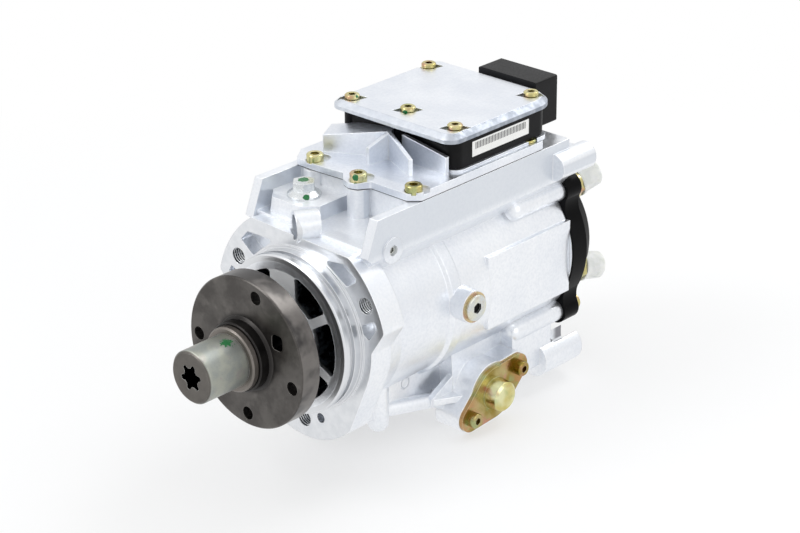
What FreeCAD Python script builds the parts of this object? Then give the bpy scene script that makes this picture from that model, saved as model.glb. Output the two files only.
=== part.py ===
# Diesel injection pump, a radial piston distributor pump with its control unit on top.
# Millimetres. The origin is the centre of the mounting flange's front face. The drive shaft lies
# along Y and its driven end points to -Y. +Z is up, towards the control unit.
import FreeCAD, Part
import math
import os
from types import SimpleNamespace

import Sketcher
from FreeCAD import Placement, Rotation, Vector

doc = FreeCAD.newDocument("injection_pump")

# Driving dimensions, each with the thing that it measures.
SIZES = {
    # Flange and pilot
    "flange_depth": (16.5, "flange, front face to back face"),
    "lobe_radius": (66.0, "right ear's rim from the shaft axis"),
    "left_lobe_radius": (68.4, "left ear's rim"),
    "waist_radius": (54.3, "flange between its ears"),
    "flange_top": (54.0, "straight top edge above the shaft axis"),
    "bolt_circle": (58.0, "radius of the three fixing holes' circle"),
    "bolt_hole": (5.0, "fixing hole radius, thread M10"),
    "pilot_radius": (47.5, "register that centres the pump"),
    "pilot_reach": (13.5, "how far the register stands out"),
    "pilot_bore": (39.5, "inner edge of the register's wall"),
    "window_floor": (12.0, "depth of the windows behind the flange face"),
    "nose_radius": (24.0, "bearing boss between the windows"),
    "nose_reach": (20.0, "how far the bearing boss stands out"),
    "web_half": (2.7, "half of a web's thickness"),
    # Barrel
    "barrel_radius": (52.0, "round part of the casting"),
    "barrel_end": (177.0, "rear face of the casting"),
    "band_radius": (53.8, "cast band round the barrel"),
    "main_bore": (40.05, "bore for cam ring and head"),
    "pump_bore": (34.0, "bore for the supply pump"),
    "pump_floor": (26.0, "floor of the supply pump's bore"),
    "cam_centre": (108.5, "middle of cam ring and timing piston along the shaft"),
    # Roof
    "roof_half": (48.0, "half width of the roof"),
    "roof_top": (74.9, "gasket face of the control unit"),
    "roof_low": (51.0, "lower edge of the side walls"),
    "roof_front": (44.0, "front of the gasket face"),
    "deck_top": (57.5, "open deck in front of the roof"),
    "block_top": (66.0, "raised block on the deck"),
    # Timing device
    "timing_drop": (66.0, "timing piston's axis below the shaft axis"),
    "timing_end": (48.5, "covers' seats, each side of the shaft axis"),
    "timing_bore": (12.04, "bore of the timing piston"),
    "timing_tube": (19.0, "outside of the timing tube"),
    "cover_tilt": (24.3, "slope of the cover's long axis, degrees"),
    "cover_reach": (22.8, "cover screws from the cover's centre"),
    "cover_ear": (8.4, "radius round each cover screw"),
    "cover_waist": (16.5, "radius of the cover's middle"),
    "advance": (6.0, "half of the cam ring's travel, degrees"),
    # Shaft line
    "hub_radius": (45.0, "drive hub's disc"),
    "hub_front": (-44.0, "front of the disc"),
    "hub_back": (-30.3, "back of the disc"),
    "hub_boss": (20.5, "hub's boss"),
    "boss_front": (-51.7, "front of the boss"),
    "hub_tail": (-22.0, "rear end of the hub's bore"),
    "collar_radius": (19.0, "nut's collar"),
    "collar_front": (-56.0, "front of the nut's collar"),
    "nut_radius": (15.6, "nut's round body"),
    "nut_front": (-84.7, "front of the nut"),
    "star_radius": (8.0, "star socket across its points"),
    "shaft_radius": (12.5, "journal"),
    "bush_radius": (15.0, "outside of the shaft's bushes"),
    "seal_radius": (20.0, "outside of the shaft seal"),
    "rotor_radius": (20.5, "distributor rotor's head"),
    "spindle_radius": (9.0, "distributor rotor's long spindle"),
    "roller_radius": (5.0, "cam roller"),
    "roller_seat": (20.9, "roller's centre from the shaft axis, plungers in"),
    "crest_radius": (26.1, "cam ring's crests"),
    "valley_radius": (28.9, "cam ring's valleys"),
    # Head
    "plate_radius": (53.0, "distributor head's plate"),
    "plate_depth": (13.0, "plate's thickness"),
    "ear_circle": (56.0, "head screws from the shaft axis"),
    "ear_radius": (8.2, "plate round each head screw"),
    "hub_rise": (13.0, "head's cone behind the plate"),
    "outlet_circle": (35.0, "outlets from the axis, at the cone's rear face"),
    "outlet_splay": (17.0, "outlets' lean away from the axis, degrees"),
    # Control unit
    "gasket_depth": (0.6, "control unit gasket"),
    "base_depth": (6.4, "control unit's cast base"),
    "case_depth": (17.6, "black case"),
    "lid_depth": (5.1, "cast lid"),
    "lid_left": (-49.5, "lid's left edge"),
    "lid_right": (46.8, "lid's right edge"),
    "lid_front": (74.5, "lid's front edge"),
    "lid_rear": (168.5, "lid's rear edge"),
}


class Size:
    """A length that carries its number and the sheet formula behind it."""

    def __init__(self, number, formula):
        self.number = float(number)
        self.formula = formula

    def _with(self, other, sign, number):
        return Size(number, f"({self.formula} {sign} {formula_of(other)})")

    def __add__(self, other):
        return self._with(other, "+", self.number + number_of(other))

    def __sub__(self, other):
        return self._with(other, "-", self.number - number_of(other))

    def __mul__(self, other):
        return self._with(other, "*", self.number * number_of(other))

    def __truediv__(self, other):
        return self._with(other, "/", self.number / number_of(other))

    def __neg__(self):
        return Size(-self.number, f"(0 - {self.formula})")

    def __radd__(self, other):
        return Size(other, f"({float(other)!r})") + self

    def __rsub__(self, other):
        return Size(other, f"({float(other)!r})") - self

    __rmul__ = __mul__


def number_of(value):
    return value.number if isinstance(value, Size) else float(value)


def formula_of(value):
    return value.formula if isinstance(value, Size) else f"({float(value)!r})"


def fill_sheet():
    """Write the driving dimensions and return them as sizes."""
    sheet = doc.addObject("Spreadsheet::Sheet", "sizes")
    sheet.Label = "driving dimensions"
    found = {}
    for row, (alias, (value, meaning)) in enumerate(SIZES.items(), 1):
        sheet.set(f"A{row}", meaning)
        sheet.set(f"B{row}", str(value))
        sheet.setAlias(f"B{row}", alias)
        found[alias] = Size(value, f"sizes.{alias}")
    doc.recompute()
    return SimpleNamespace(**found)


dim = fill_sheet()
nodes = []

RIGHT, LEFT = (1, 0, 0), (-1, 0, 0)
REAR, FRONT = (0, 1, 0), (0, -1, 0)
UP, DOWN = (0, 0, 1), (0, 0, -1)


# Helpers that make one object each and bind its sizes to the sheet

def bind(thing, prop, value):
    """Set a property, by a sheet formula where the value has one."""
    if isinstance(value, Size):
        thing.setExpression(prop, value.formula)
    else:
        setattr(thing, prop, value)


def place(thing, at, out=UP, roll=0.0):
    """Put a thing's own origin at a point, with its own Z along out."""
    turn = Rotation(Vector(0, 0, 1), Vector(*out)).multiply(Rotation(Vector(0, 0, 1), roll))
    thing.Placement = Placement(Vector(*[number_of(v) for v in at]), turn)
    for axis, value in zip("xyz", at):
        if isinstance(value, Size):
            thing.setExpression(f"Placement.Base.{axis}", value.formula)
    return thing


def shift(at, out, distance):
    """A point further along a direction."""
    return tuple(a + distance * o if o else a for a, o in zip(at, out))


def make(kind, name, values, at, out=UP, roll=0.0):
    thing = doc.addObject(kind, name)
    for prop, value in values.items():
        bind(thing, prop, value)
    return place(thing, at, out, roll)


def rod(name, radius, length, at, out):
    """A round bar that starts at a point and runs along out."""
    return make("Part::Cylinder", name, {"Radius": radius, "Height": length}, at, out)


def cone(name, first, last, length, at, out):
    values = {"Radius1": first, "Radius2": last, "Height": length}
    return make("Part::Cone", name, values, at, out)


def box(name, low, high):
    """A block between two opposite corners."""
    values = {prop: b - a for prop, a, b in zip(("Length", "Width", "Height"), low, high)}
    return make("Part::Box", name, values, low)


def ball(name, radius, at):
    return make("Part::Sphere", name, {"Radius": radius}, at)


def prism(name, flats, length, at, out, roll=0.0):
    """A six sided bar, measured across its flats."""
    corner = flats / math.sqrt(3)
    return make("Part::Prism", name, {"Circumradius": corner, "Height": length, "Polygon": 6}, at, out, roll)


def join(name, parts):
    thing = doc.addObject("Part::MultiFuse", name)
    thing.Shapes = parts
    return thing


def group(name, parts):
    """Several separate solids in one node."""
    thing = doc.addObject("Part::Compound", name)
    thing.Links = parts
    return thing


def cut(name, base, tools):
    thing = doc.addObject("Part::Cut", name)
    thing.Base = base
    thing.Tool = tools[0] if len(tools) == 1 else join(f"{name}_tools", tools)
    return thing


def soften(name, thing, radius, wanted):
    """Round the edges that wanted picks."""
    doc.recompute()
    picked = [i for i, edge in enumerate(thing.Shape.Edges, 1) if wanted(edge)]
    rounded = doc.addObject("Part::Fillet", name)
    rounded.Base = thing
    rounded.Edges = [(i, radius, radius) for i in picked]
    return rounded


def runs_along(edge, axis):
    """True for a straight edge parallel to an axis."""
    if edge.Curve.TypeId != "Part::GeomLine":
        return False
    return abs(Vector(*axis).dot(edge.tangentAt(edge.FirstParameter))) > 0.999


def polar(radius, degrees):
    turn = math.radians(degrees)
    return (radius * math.cos(turn), radius * math.sin(turn))


def arc_between(start, end, radius):
    """An arc that turns left for a positive radius and right for a negative one."""
    if radius < 0:
        start, end = end, start
    chord = end - start
    half = chord.Length / 2
    rise = math.sqrt(max(radius * radius - half * half, 0.0))
    side = Vector(-chord.y, chord.x, 0).normalize()
    centre = start + chord * 0.5 + side * rise
    circle = Part.Circle(centre, Vector(0, 0, 1), abs(radius))
    first = math.atan2(start.y - centre.y, start.x - centre.x)
    last = math.atan2(end.y - centre.y, end.x - centre.x)
    return Part.ArcOfCircle(circle, first, last)


def outline(body, plane, points, offset=0.0):
    """A closed sketch. A point is (u, v), or (u, v, radius) where an arc leads to it."""
    sketch = body.newObject("Sketcher::SketchObject", f"{body.Name}_outline")
    role = f"{plane}_Plane"
    origin_plane = [f for f in body.Origin.OriginFeatures if f.Role == role][0]
    sketch.AttachmentSupport = [(origin_plane, "")]
    sketch.MapMode = "FlatFace"
    sketch.AttachmentOffset = Placement(Vector(0, 0, number_of(offset)), Rotation())
    if isinstance(offset, Size):
        sketch.setExpression("AttachmentOffset.Base.z", offset.formula)
    spots = [Vector(number_of(p[0]), number_of(p[1]), 0) for p in points]
    count = len(points)
    starts, ends = [], []
    for i in range(count):
        j = (i + 1) % count
        radius = points[j][2] if len(points[j]) > 2 else None
        if radius is None:
            sketch.addGeometry(Part.LineSegment(spots[i], spots[j]), False)
        else:
            sketch.addGeometry(arc_between(spots[i], spots[j], number_of(radius)), False)
            sketch.addConstraint(Sketcher.Constraint("Radius", i, abs(number_of(radius))))
            if isinstance(radius, Size):
                size = radius if radius.number > 0 else -radius
                sketch.setExpression(f"Constraints[{sketch.ConstraintCount - 1}]", size.formula)
        turned_round = radius is not None and number_of(radius) < 0
        starts.append(2 if turned_round else 1)
        ends.append(1 if turned_round else 2)
    for i in range(count):
        j = (i + 1) % count
        sketch.addConstraint(Sketcher.Constraint("Coincident", i, ends[i], j, starts[j]))
        for kind, axis, value in (("DistanceX", -2, points[i][0]), ("DistanceY", -1, points[i][1])):
            if abs(number_of(value)) < 1e-9:
                sketch.addConstraint(Sketcher.Constraint("PointOnObject", i, starts[i], axis))
                continue
            sketch.addConstraint(Sketcher.Constraint(kind, -1, 1, i, starts[i], number_of(value)))
            if isinstance(value, Size):
                sketch.setExpression(f"Constraints[{sketch.ConstraintCount - 1}]", value.formula)
    return sketch


def slab(name, plane, points, start, depth, draft=0.0):
    """An outline in XY, XZ or YZ, thickened along the axis that the plane leaves out."""
    body = doc.addObject("PartDesign::Body", name)
    backwards = plane == "XZ"
    sketch = outline(body, plane, points, -start if backwards else start)
    pad = body.newObject("PartDesign::Pad", f"{name}_pad")
    pad.Profile = sketch
    bind(pad, "Length", depth)
    pad.Reversed = backwards
    pad.TaperAngle = draft
    return body


def turned(name, profile, at=(0, 0, 0), out=REAR, roll=0.0):
    """A profile of (radius, station) turned about the line through at along out."""
    body = doc.addObject("PartDesign::Body", name)
    sketch = outline(body, "XZ", profile)
    revolution = body.newObject("PartDesign::Revolution", f"{name}_turn")
    revolution.Profile = sketch
    revolution.ReferenceAxis = (sketch, ["V_Axis"])
    revolution.Angle = 360.0
    return place(body, at, out, roll)


def tube(name, outer, inner, first, last, at=(0, 0, 0), out=REAR):
    """A plain ring between two stations."""
    return turned(name, [(inner, first), (outer, first), (outer, last), (inner, last)], at, out)


def screw(name, at, out, head, height, shank, length, flats, bevel=0.6):
    """A cap screw with a six sided socket. The seat is at, and its head points along out."""
    solid = turned(f"{name}_blank", [
        (0, -length), (shank - bevel, -length), (shank, bevel - length), (shank, 0), (head, 0),
        (head, height - bevel), (head - bevel, height), (0, height),
    ], at, out)
    depth = 0.6 * height
    socket = prism(f"{name}_socket", flats, depth + 1, shift(at, out, height - depth), out)
    return cut(name, solid, [socket])


def node(name, thing):
    thing.Label = name
    nodes.append(thing)
    return thing


# Housing

def rounded_box(name, low, high, radius, axis):
    """A block whose edges along one axis are rounded."""
    return soften(name, box(f"{name}_block", low, high), radius, lambda e: runs_along(e, axis))


def flange_plate():
    right, left = dim.lobe_radius, dim.left_lobe_radius
    waist = dim.waist_radius
    points = [
        polar(right, 14), (*polar(right, 55), right),
        polar(left, 124.5), (*polar(left, 166), left),
        polar(waist, 179), (*polar(waist, 204), waist),
        (-36.5, -53.5), (36.5, -53.5, 50.0),
        polar(waist, -24), (*polar(waist, 1), waist),
    ]
    plate = slab("flange_plate", "XZ", points, 0.0, dim.flange_depth)
    return soften("flange_rounded", plate, 4.0, lambda e: runs_along(e, REAR))


def flange_pockets():
    """Cast recesses in the flange's face, clear of the seal shoulder."""
    floor = 9.0
    corner = [(19, 47.2), (26.6, 41.8), (36, 36.2), (42.6, 40.4), (43.6, 43), (36, 49.4)]
    side = [(48.2, 11), (52.6, 8.4), (58.8, 17.6), (56.6, 21.6), (46.8, 16)]
    left = [(-20.6, 47.4), (-42, 46.8), (-48, 40.4), (-38, 33), (-31.6, 38.6)]
    shapes = [corner, side, left, [(-x, z) for x, z in reversed(side)]]
    pockets = []
    for i, points in enumerate(shapes):
        pocket = slab(f"flange_pocket_{i}", "XZ", points, -1.0, floor + 1.0)
        pockets.append(soften(f"flange_pocket_round_{i}", pocket, 1.4, lambda e: runs_along(e, REAR)))
    return pockets


def pilot_windows():
    """Deep openings round the bearing boss, with a web between each two."""
    webs = [(-26, 1), (32, 1), (91.5, 3.6), (148, 1), (212, 1), (273, 1)]
    windows = []
    for i, (first, wide) in enumerate(webs):
        last, next_wide = webs[(i + 1) % len(webs)]
        last += 360 if last < first else 0
        corners = []
        for radius in (dim.nose_radius, dim.pilot_bore):
            half = math.degrees(math.asin(dim.web_half.number / radius.number))
            corners.append((radius, first + half * wide, last - half * next_wide))
        (inner, inner_first, inner_last), (outer, outer_first, outer_last) = corners
        points = [
            polar(inner, inner_first), polar(outer, outer_first),
            (*polar(outer, outer_last), outer), polar(inner, inner_last),
        ]
        points[0] = (*points[0], -inner)
        start = -dim.pilot_reach - 1.0
        window = slab(f"window_{i}", "XZ", points, start, dim.window_floor - start)
        windows.append(soften(f"window_round_{i}", window, 2.2, lambda e: runs_along(e, REAR)))
    return windows


def pilot():
    r, reach = dim.pilot_radius, dim.pilot_reach
    groove = r - 2.4
    return turned("pilot", [
        (0, 1), (0, -reach), (r - 0.8, -reach), (r, 0.8 - reach), (r, -9.5), (groove, -9.5),
        (groove, -6), (r, -6), (r, -1.2), (49.1, -1.2), (49.1, 1),
    ])


def bearing_boss():
    r = dim.nose_radius
    return turned("bearing_boss", [(0, 8), (0, -dim.nose_reach), (r - 2.5, -dim.nose_reach), (r + 0.5, 8)])


def barrel():
    r, band, end = dim.barrel_radius, dim.band_radius, dim.barrel_end
    return turned("barrel", [
        (0, 12), (r + 2, 12), (r + 2, 17), (r, 27), (r, 67.6), (band, 69.6), (band, 77), (r, 79),
        (r + 0.4, end - 1), (r, end), (0, end),
    ])


def roof():
    """The square upper part: side walls, the open deck and what stands on it."""
    half, low, top = dim.roof_half, dim.roof_low, dim.roof_top
    front, end = dim.roof_front, dim.barrel_end
    section = [(-34, 36), (34, 36), (42, 44), (half, low), (half, top), (-half, top), (-half, low), (-42, 44)]
    deck = [(-half, low), (-42, 44), (-34, 36), (34, 36), (42, 44), (half, low), (half, dim.deck_top - 3),
            (half - 6, dim.deck_top), (-half + 6, dim.deck_top), (-half, dim.deck_top - 3)]
    wall = [(8, low), (4.5, 54), (13, top), (front + 3, top), (front + 3, low)]
    block = [(-45, 47), (-45, 21.5), (-36, 11), (-12, 11), (-2.5, 20.5), (-2.5, 47)]
    parts = [
        slab("roof_section", "XZ", section, front, end - front),
        slab("deck", "XZ", deck, 8.0, front - 6.0),
        slab("right_wall", "YZ", wall, half - 6, 6.0),
        slab("left_wall", "YZ", wall, -half, 6.0),
        slab("deck_block", "XY", block, 48.0, dim.block_top - 48.0, -7.0),
        rod("deck_plug_boss", 10.8, dim.block_top - 48.0, (*VALVE_PLACE, 48.0), UP),
    ]
    for i, (x, y) in enumerate(base_screw_places()[:3]):
        parts.append(rod(f"screw_column_{i}", 6.6, top - 52, (x, y, 52.0), UP))
    return parts


def base_screw_places():
    return [(-32.1, 45.5), (6.3, 41.3), (41.2, 49.2), (-41.0, 140.5), (41.0, 147.0)]


def deck_bore():
    """The short slanted bore that breaks into the flange's top edge."""
    lean = math.radians(33)
    out = (math.sin(lean), math.cos(lean), 0)
    start = (-6.4, 2.5, 59.0)
    return rod("deck_tube", 9.2, 14.0, start, out), rod("deck_tube_bore", 7.2, 11.0, shift(start, out, -1.0), out)


PLUG_PLACE = (76.8, 5.0)
PLUG_SEAT = 61.8


def side_features():
    """Bosses, pads and lugs on the right side and at the rear."""
    y_end = dim.barrel_end
    parts = [
        box("side_panel", (38.0, 103.0, -23.0), (50.0, y_end, 23.0)),
        rod("side_plug_boss", 9.9, PLUG_SEAT - 30.0, (30.0, *PLUG_PLACE), RIGHT),
        rod("lock_boss", 7.6, 14.0, (35.0, 24.4, 53.6), RIGHT),
        rod("rear_port_boss", 8.2, 30.0, (48.5, 162.0, 61.0), REAR),
        box("rear_port_web", (40.0, 166.0, 56.0), (50.0, 186.0, 68.0)),
        rod("inlet_boss", 12.0, 16.0, (-40.0, 44.0, 8.0), LEFT),
        rod("return_boss", 11.0, 20.0, (-36.0, 88.0, 14.0), LEFT),
        rod("solenoid_boss", 14.0, 26.0, (-26.0, 66.0, -62.0), REAR),
    ]
    for i, (x, z) in enumerate(head_screw_places()):
        parts.append(rod(f"screw_boss_{i}", 6.4, y_end - 137.0, (x, 137.0, z), REAR))
        parts.append(ball(f"screw_boss_end_{i}", 6.4, (x, 137.0, z)))
    return parts


def head_screw_places():
    return [polar(dim.ear_circle, 45 + 90 * i) for i in range(4)]


def cover_outline(grow=0.0):
    """The rhombic outline of the timing covers, in Y and Z."""
    tilt = math.radians(dim.cover_tilt.number)
    along, across = (math.cos(tilt), math.sin(tilt)), (-math.sin(tilt), math.cos(tilt))
    reach, ear, waist = dim.cover_reach, dim.cover_ear + grow, dim.cover_waist + grow
    lean = math.asin((waist.number - ear.number) / reach.number)
    normal_in, normal_out = math.sin(lean), math.cos(lean)

    def spot(distance, radius, end, side):
        u = end * (distance + radius * normal_in)
        v = side * radius * normal_out
        return (dim.cam_centre + u * along[0] + v * across[0], -dim.timing_drop + u * along[1] + v * across[1])

    return [
        spot(reach, ear, 1, -1), (*spot(reach, ear, 1, 1), ear), spot(0.0, waist, 1, 1),
        (*spot(0.0, waist, -1, 1), waist), spot(reach, ear, -1, 1), (*spot(reach, ear, -1, -1), ear),
        spot(0.0, waist, -1, -1), (*spot(0.0, waist, 1, -1), waist),
    ]


def timing_screw_places():
    tilt = math.radians(dim.cover_tilt.number)
    y, z = dim.cover_reach * math.cos(tilt), dim.cover_reach * math.sin(tilt)
    centre_y, centre_z = dim.cam_centre, -dim.timing_drop
    return [(centre_y + y, centre_z + z), (centre_y - y, centre_z - z)]


def timing_casting():
    """The cross tube under the barrel, its ends, its saddle and the gallery in front."""
    y, z, end = dim.cam_centre, -dim.timing_drop, dim.timing_end
    parts = [
        rod("timing_tube", dim.timing_tube, end * 2, (-end, y, z), RIGHT),
        slab("timing_end_right", "YZ", cover_outline(0.6), 30.0, end - 30.0),
        slab("timing_end_left", "YZ", cover_outline(0.6), -end, end - 30.0),
        slab("timing_saddle", "XZ", [(-36, -66), (36, -66), (34, -38), (-34, -38)], y - 20, 46.0),
        slab("timing_gusset_upright", "YZ", [(70, -62), (70, -66), (94, -80), (94, -50)], 31.0, 4.0),
        slab("timing_gusset_level", "XY", [(30, 70), (34, 70), (47, 94), (20, 94)], -66.5, 4.0),
        rod("gallery_boss", 6.4, 26.0, (22.4, 37.6, -66.8), UP),
        ball("gallery_boss_end", 6.4, (22.4, 37.6, -66.8)),
        slab("gallery_web", "YZ", [(12, -40), (12, -62), (96, -66), (96, -40)], 20.0, 5.0),
    ]
    start, stop = Vector(23.0, 40.0, -60.5), Vector(33.0, 92.0, -68.0)
    run = stop - start
    out = tuple(run.normalize())
    parts.append(rod("gallery_bar", 4.6, 54.0, tuple(start), out))
    return parts


def rear_lug():
    """The hooked lug at the lower right, open on top."""
    outer = rod("lug_round", 11.0, 34.0, (38.5, 158.0, -66.5), REAR)
    arm = box("lug_arm", (29.0, 132.0, -68.0), (44.0, 168.0, -36.0))
    scoop = rounded_box("lug_scoop", (32.5, 171.0, -68.0), (44.5, 193.0, -50.0), 5.0, REAR)
    return [outer, arm], [scoop]


def shaft_bores():
    reach = dim.nose_reach
    return [
        rod("seal_bore", dim.seal_radius, reach - 9.0, (0, -reach - 1, 0), REAR),
        rod("bush_bore", dim.bush_radius, dim.pump_floor + 12, (0, -11.0, 0), REAR),
        rod("pump_bore", dim.pump_bore, 62.0 - dim.pump_floor, (0, dim.pump_floor, 0), REAR),
        rod("main_bore", dim.main_bore, dim.barrel_end - 60.0, (0, 61.0, 0), REAR),
    ]


def housing_holes():
    y, z, end = dim.cam_centre, -dim.timing_drop, dim.timing_end
    holes = [
        rod("timing_bore", dim.timing_bore, end * 2 + 2, (-end - 1, y, z), RIGHT),
        box("ball_pin_slot", (-13.0, y - 8, z), (13.0, y + 8, -37.0)),
        box("lead_passage", (-15.0, 64.0, 36.0), (15.0, 94.0, 76.0)),
        box("panel_flat", (50.0, 103.0, -23.0), (60.0, 176.9, 23.0)),
        rod("side_plug_hole", 6.0, PLUG_SEAT - 33.0, (34.0, *PLUG_PLACE), RIGHT),
        rod("lock_hole", 3.05, 16.0, (36.0, 24.4, 53.6), RIGHT),
        rod("rear_port_hole", 4.2, 16.0, (48.5, 177.0, 61.0), REAR),
        rod("valve_bore", 7.0, 32.0, (*VALVE_PLACE, 38.0), UP),
        rod("inlet_hole", 7.0, 30.0, (-30.0, 44.0, 8.0), LEFT),
        rod("return_hole", 6.0, 24.0, (-34.0, 88.0, 14.0), LEFT),
        rod("solenoid_hole", 9.0, 30.0, (-26.0, 60.0, -62.0), REAR),
        rod("dowel_hole", 3.0, 11.0, (*polar(55, -76)[:1], -1.0, polar(55, -76)[1]), REAR),
    ]
    for i, degrees in enumerate((30, 150, -90)):
        x, zz = polar(dim.bolt_circle, degrees)
        holes.append(rod(f"flange_hole_{i}", dim.bolt_hole, dim.flange_depth + 14, (x, -1.0, zz), REAR))
    for i, (x, zz) in enumerate(head_screw_places()):
        holes.append(rod(f"head_screw_hole_{i}", 3.05, 26.0, (x, dim.barrel_end - 25, zz), REAR))
    for i, (yy, zz) in enumerate(timing_screw_places()):
        for side, out in ((1, LEFT), (-1, RIGHT)):
            holes.append(rod(f"timing_screw_hole_{i}_{side}", 2.55, 15.0, ((end + 1) * side, yy, zz), out))
    for i, (x, yy) in enumerate(base_screw_places()):
        holes.append(rod(f"base_screw_hole_{i}", 3.05, 17.0, (x, yy, dim.roof_top + 1), DOWN))
    for i, (x, zz) in enumerate(pump_screw_places()):
        holes.append(rod(f"pump_screw_hole_{i}", 2.55, 11.0, (x, dim.pump_floor - 10, zz), REAR))
    return holes


VALVE_PLACE = (-23.3, 27.5)


def housing():
    lug, scoop = rear_lug()
    tube_round, tube_bore = deck_bore()
    solid = [flange_plate(), pilot(), bearing_boss(), barrel(), tube_round]
    solid += roof() + side_features() + timing_casting() + lug
    hollow = pilot_windows() + flange_pockets() + shaft_bores() + housing_holes() + scoop + [tube_bore]
    casting = join("housing_solid", solid)
    node("pump_housing", cut("pump_housing", casting, hollow))


# Shaft line

def star(name, start, depth):
    """A six pointed star socket with rounded points and hollows."""
    outer, inner = dim.star_radius, dim.star_radius * 0.74
    points = []
    for i in range(6):
        lobe = 60 * i + 12
        points += [(*polar(inner, lobe - 17), -2.6), polar(outer - 0.5, lobe - 10),
                   (*polar(outer - 0.5, lobe + 10), 1.9), polar(inner, lobe + 17)]
    return slab(name, "XZ", points, start, depth)


def hub_nut():
    r, front, collar = dim.nut_radius, dim.nut_front, dim.collar_radius
    blank = turned("nut_blank", [
        (0, front), (r - 1.2, front), (r, front + 1.2), (r, dim.collar_front), (collar - 0.8, dim.collar_front),
        (collar, dim.collar_front + 0.8), (collar, dim.boss_front - 0.4), (collar - 0.4, dim.boss_front),
        (0, dim.boss_front),
    ])
    socket = star("nut_socket", front - 1, 11.5)
    thread = rod("nut_thread", 8.0, 15.0, (0, dim.boss_front - 14, 0), REAR)
    node("hub_nut", cut("hub_nut", blank, [socket, thread]))


TAPER = [(8.2, -51.7), (11.2, -22.0)]


def hub_holes():
    """Three tapped holes and the pulling hole on one circle, as far round as the real ones."""
    circle = 37.5
    front, depth = dim.hub_front - 1, dim.hub_back - dim.hub_front + 2
    holes = []
    for i, degrees in enumerate((180, 75, -15, -90)):
        x, z = polar(circle, degrees)
        holes.append(rod(f"hub_hole_{i}", 4.0, depth, (x, front, z), REAR))
    slot = box("hub_slot_block", (21.5, front, 9.9), (29.7, front + depth, 19.1))
    holes.append(soften("hub_slot", slot, 2.6, lambda e: runs_along(e, REAR)))
    return holes


def drive_hub():
    r, boss, front, back = dim.hub_radius, dim.hub_boss, dim.hub_front, dim.hub_back
    (r_front, y_front), (r_back, y_back) = TAPER
    gap = 0.02
    blank = turned("hub_blank", [
        (r_front + gap, y_front), (boss - 0.6, y_front), (boss, y_front + 0.6), (boss, front - 1.5), (boss + 1.5, front),
        (r - 0.8, front), (r, front + 0.8), (r, back - 0.8), (r - 0.8, back), (boss, back),
        (boss - 1, y_back), (r_back + gap, y_back),
    ])
    keyway = box("hub_keyway", (-2.03, -46.0, 5.0), (2.03, -30.0, 12.6))
    node("drive_hub", cut("drive_hub", blank, hub_holes() + [keyway]))
    node("hub_key", box("hub_key", (-2.0, -45.9, 6.6), (2.0, -30.1, 12.5)))


def drive_shaft():
    (r_front, y_front), (r_back, y_back) = TAPER
    r = dim.shaft_radius
    blank = turned("shaft_blank", [
        (0, -65), (7.2, -65), (7.95, -64.2), (7.95, y_front), (r_front, y_front), (r_back, y_back),
        (r_back, -21.5), (r, -20.9), (r, 80), (10, 80), (10, 90), (0, 90),
    ])
    keyway = box("shaft_keyway", (-2.03, -46.0, 6.6), (2.03, -30.0, 13.0))
    node("drive_shaft", cut("drive_shaft", blank, [keyway]))


def bearings():
    clear = dim.shaft_radius + 0.04
    lip = dim.shaft_radius + 0.03
    node("shaft_seal", turned("shaft_seal", [
        (lip, -13.5), (lip, -15.5), (lip + 2.5, -18.8), (dim.seal_radius, -18.8), (dim.seal_radius, -11),
        (dim.seal_radius - 2, -11), (dim.seal_radius - 2, -15),
    ]))
    node("shaft_bushes", group("shaft_bushes", [
        tube("front_shaft_bush", dim.bush_radius, clear, -9.5, 25.5),
        tube("rear_shaft_bush", dim.bush_radius, clear, 50.0, 59.0),
    ]))


# Supply pump

ECCENTRIC = 2.2
VANE_ANGLES = (45, 135, 225, 315)


def pump_screw_places():
    return [polar(29.6, degrees) for degrees in (90, 210, 330)]


def supply_pump():
    floor = dim.pump_floor
    ring = rod("pump_ring_blank", dim.pump_bore - 0.02, 24.0, (0, floor, 0), REAR)
    holes = [rod("pump_ring_bore", 24.2, 26.0, (ECCENTRIC, floor - 1, 0), REAR)]
    cover_holes = [rod("pump_cover_bore", dim.bush_radius, 12.0, (0, 49.0, 0), REAR)]
    screws = []
    for i, (x, z) in enumerate(pump_screw_places()):
        holes.append(rod(f"pump_ring_hole_{i}", 2.6, 26.0, (x, floor - 1, z), REAR))
        cover_holes.append(rod(f"pump_cover_hole_{i}", 2.6, 12.0, (x, 49.0, z), REAR))
        screws.append(screw(f"pump_screw_{i}", (x, 57.0, z), REAR, 3.6, 3.4, 2.5, 39.0, 3.0))
    cover = rod("pump_cover_blank", dim.pump_bore - 0.02, 7.0, (0, 50.0, 0), REAR)
    node("supply_pump_ring", cut("supply_pump_ring", ring, holes))
    node("supply_pump_cover", cut("supply_pump_cover", cover, cover_holes))
    node("supply_pump_screws", group("supply_pump_screws", screws))
    rotor = tube("pump_rotor_blank", 21.6, dim.shaft_radius, 26.1, 49.9)
    slots, vanes = [], []
    for degrees in VANE_ANGLES:
        out = (*polar(1, degrees)[:1], 0, polar(1, degrees)[1])
        slots.append(vane_block(f"vane_slot_{degrees}", out, degrees, 1.53, 14.0, 23.0, 26.0, 50.0))
        vanes.append(vane_block(f"vane_{degrees}", out, degrees, 1.5, 14.6, 21.7, 26.2, 49.8))
    node("supply_pump_rotor", cut("supply_pump_rotor", rotor, slots))
    node("supply_pump_vanes", group("supply_pump_vanes", vanes))


def vane_block(name, out, degrees, half, inner, outer, front, rear):
    """A flat radial block at an angle round the shaft."""
    block = doc.addObject("Part::Box", name)
    block.Length, block.Width, block.Height = outer - inner, rear - front, 2 * half
    turn = Rotation(Vector(0, 1, 0), -degrees)
    corner = turn.multVec(Vector(inner, front, -half))
    block.Placement = Placement(corner, turn)
    return block


# Increment wheel, cam drive and rotor

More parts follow.
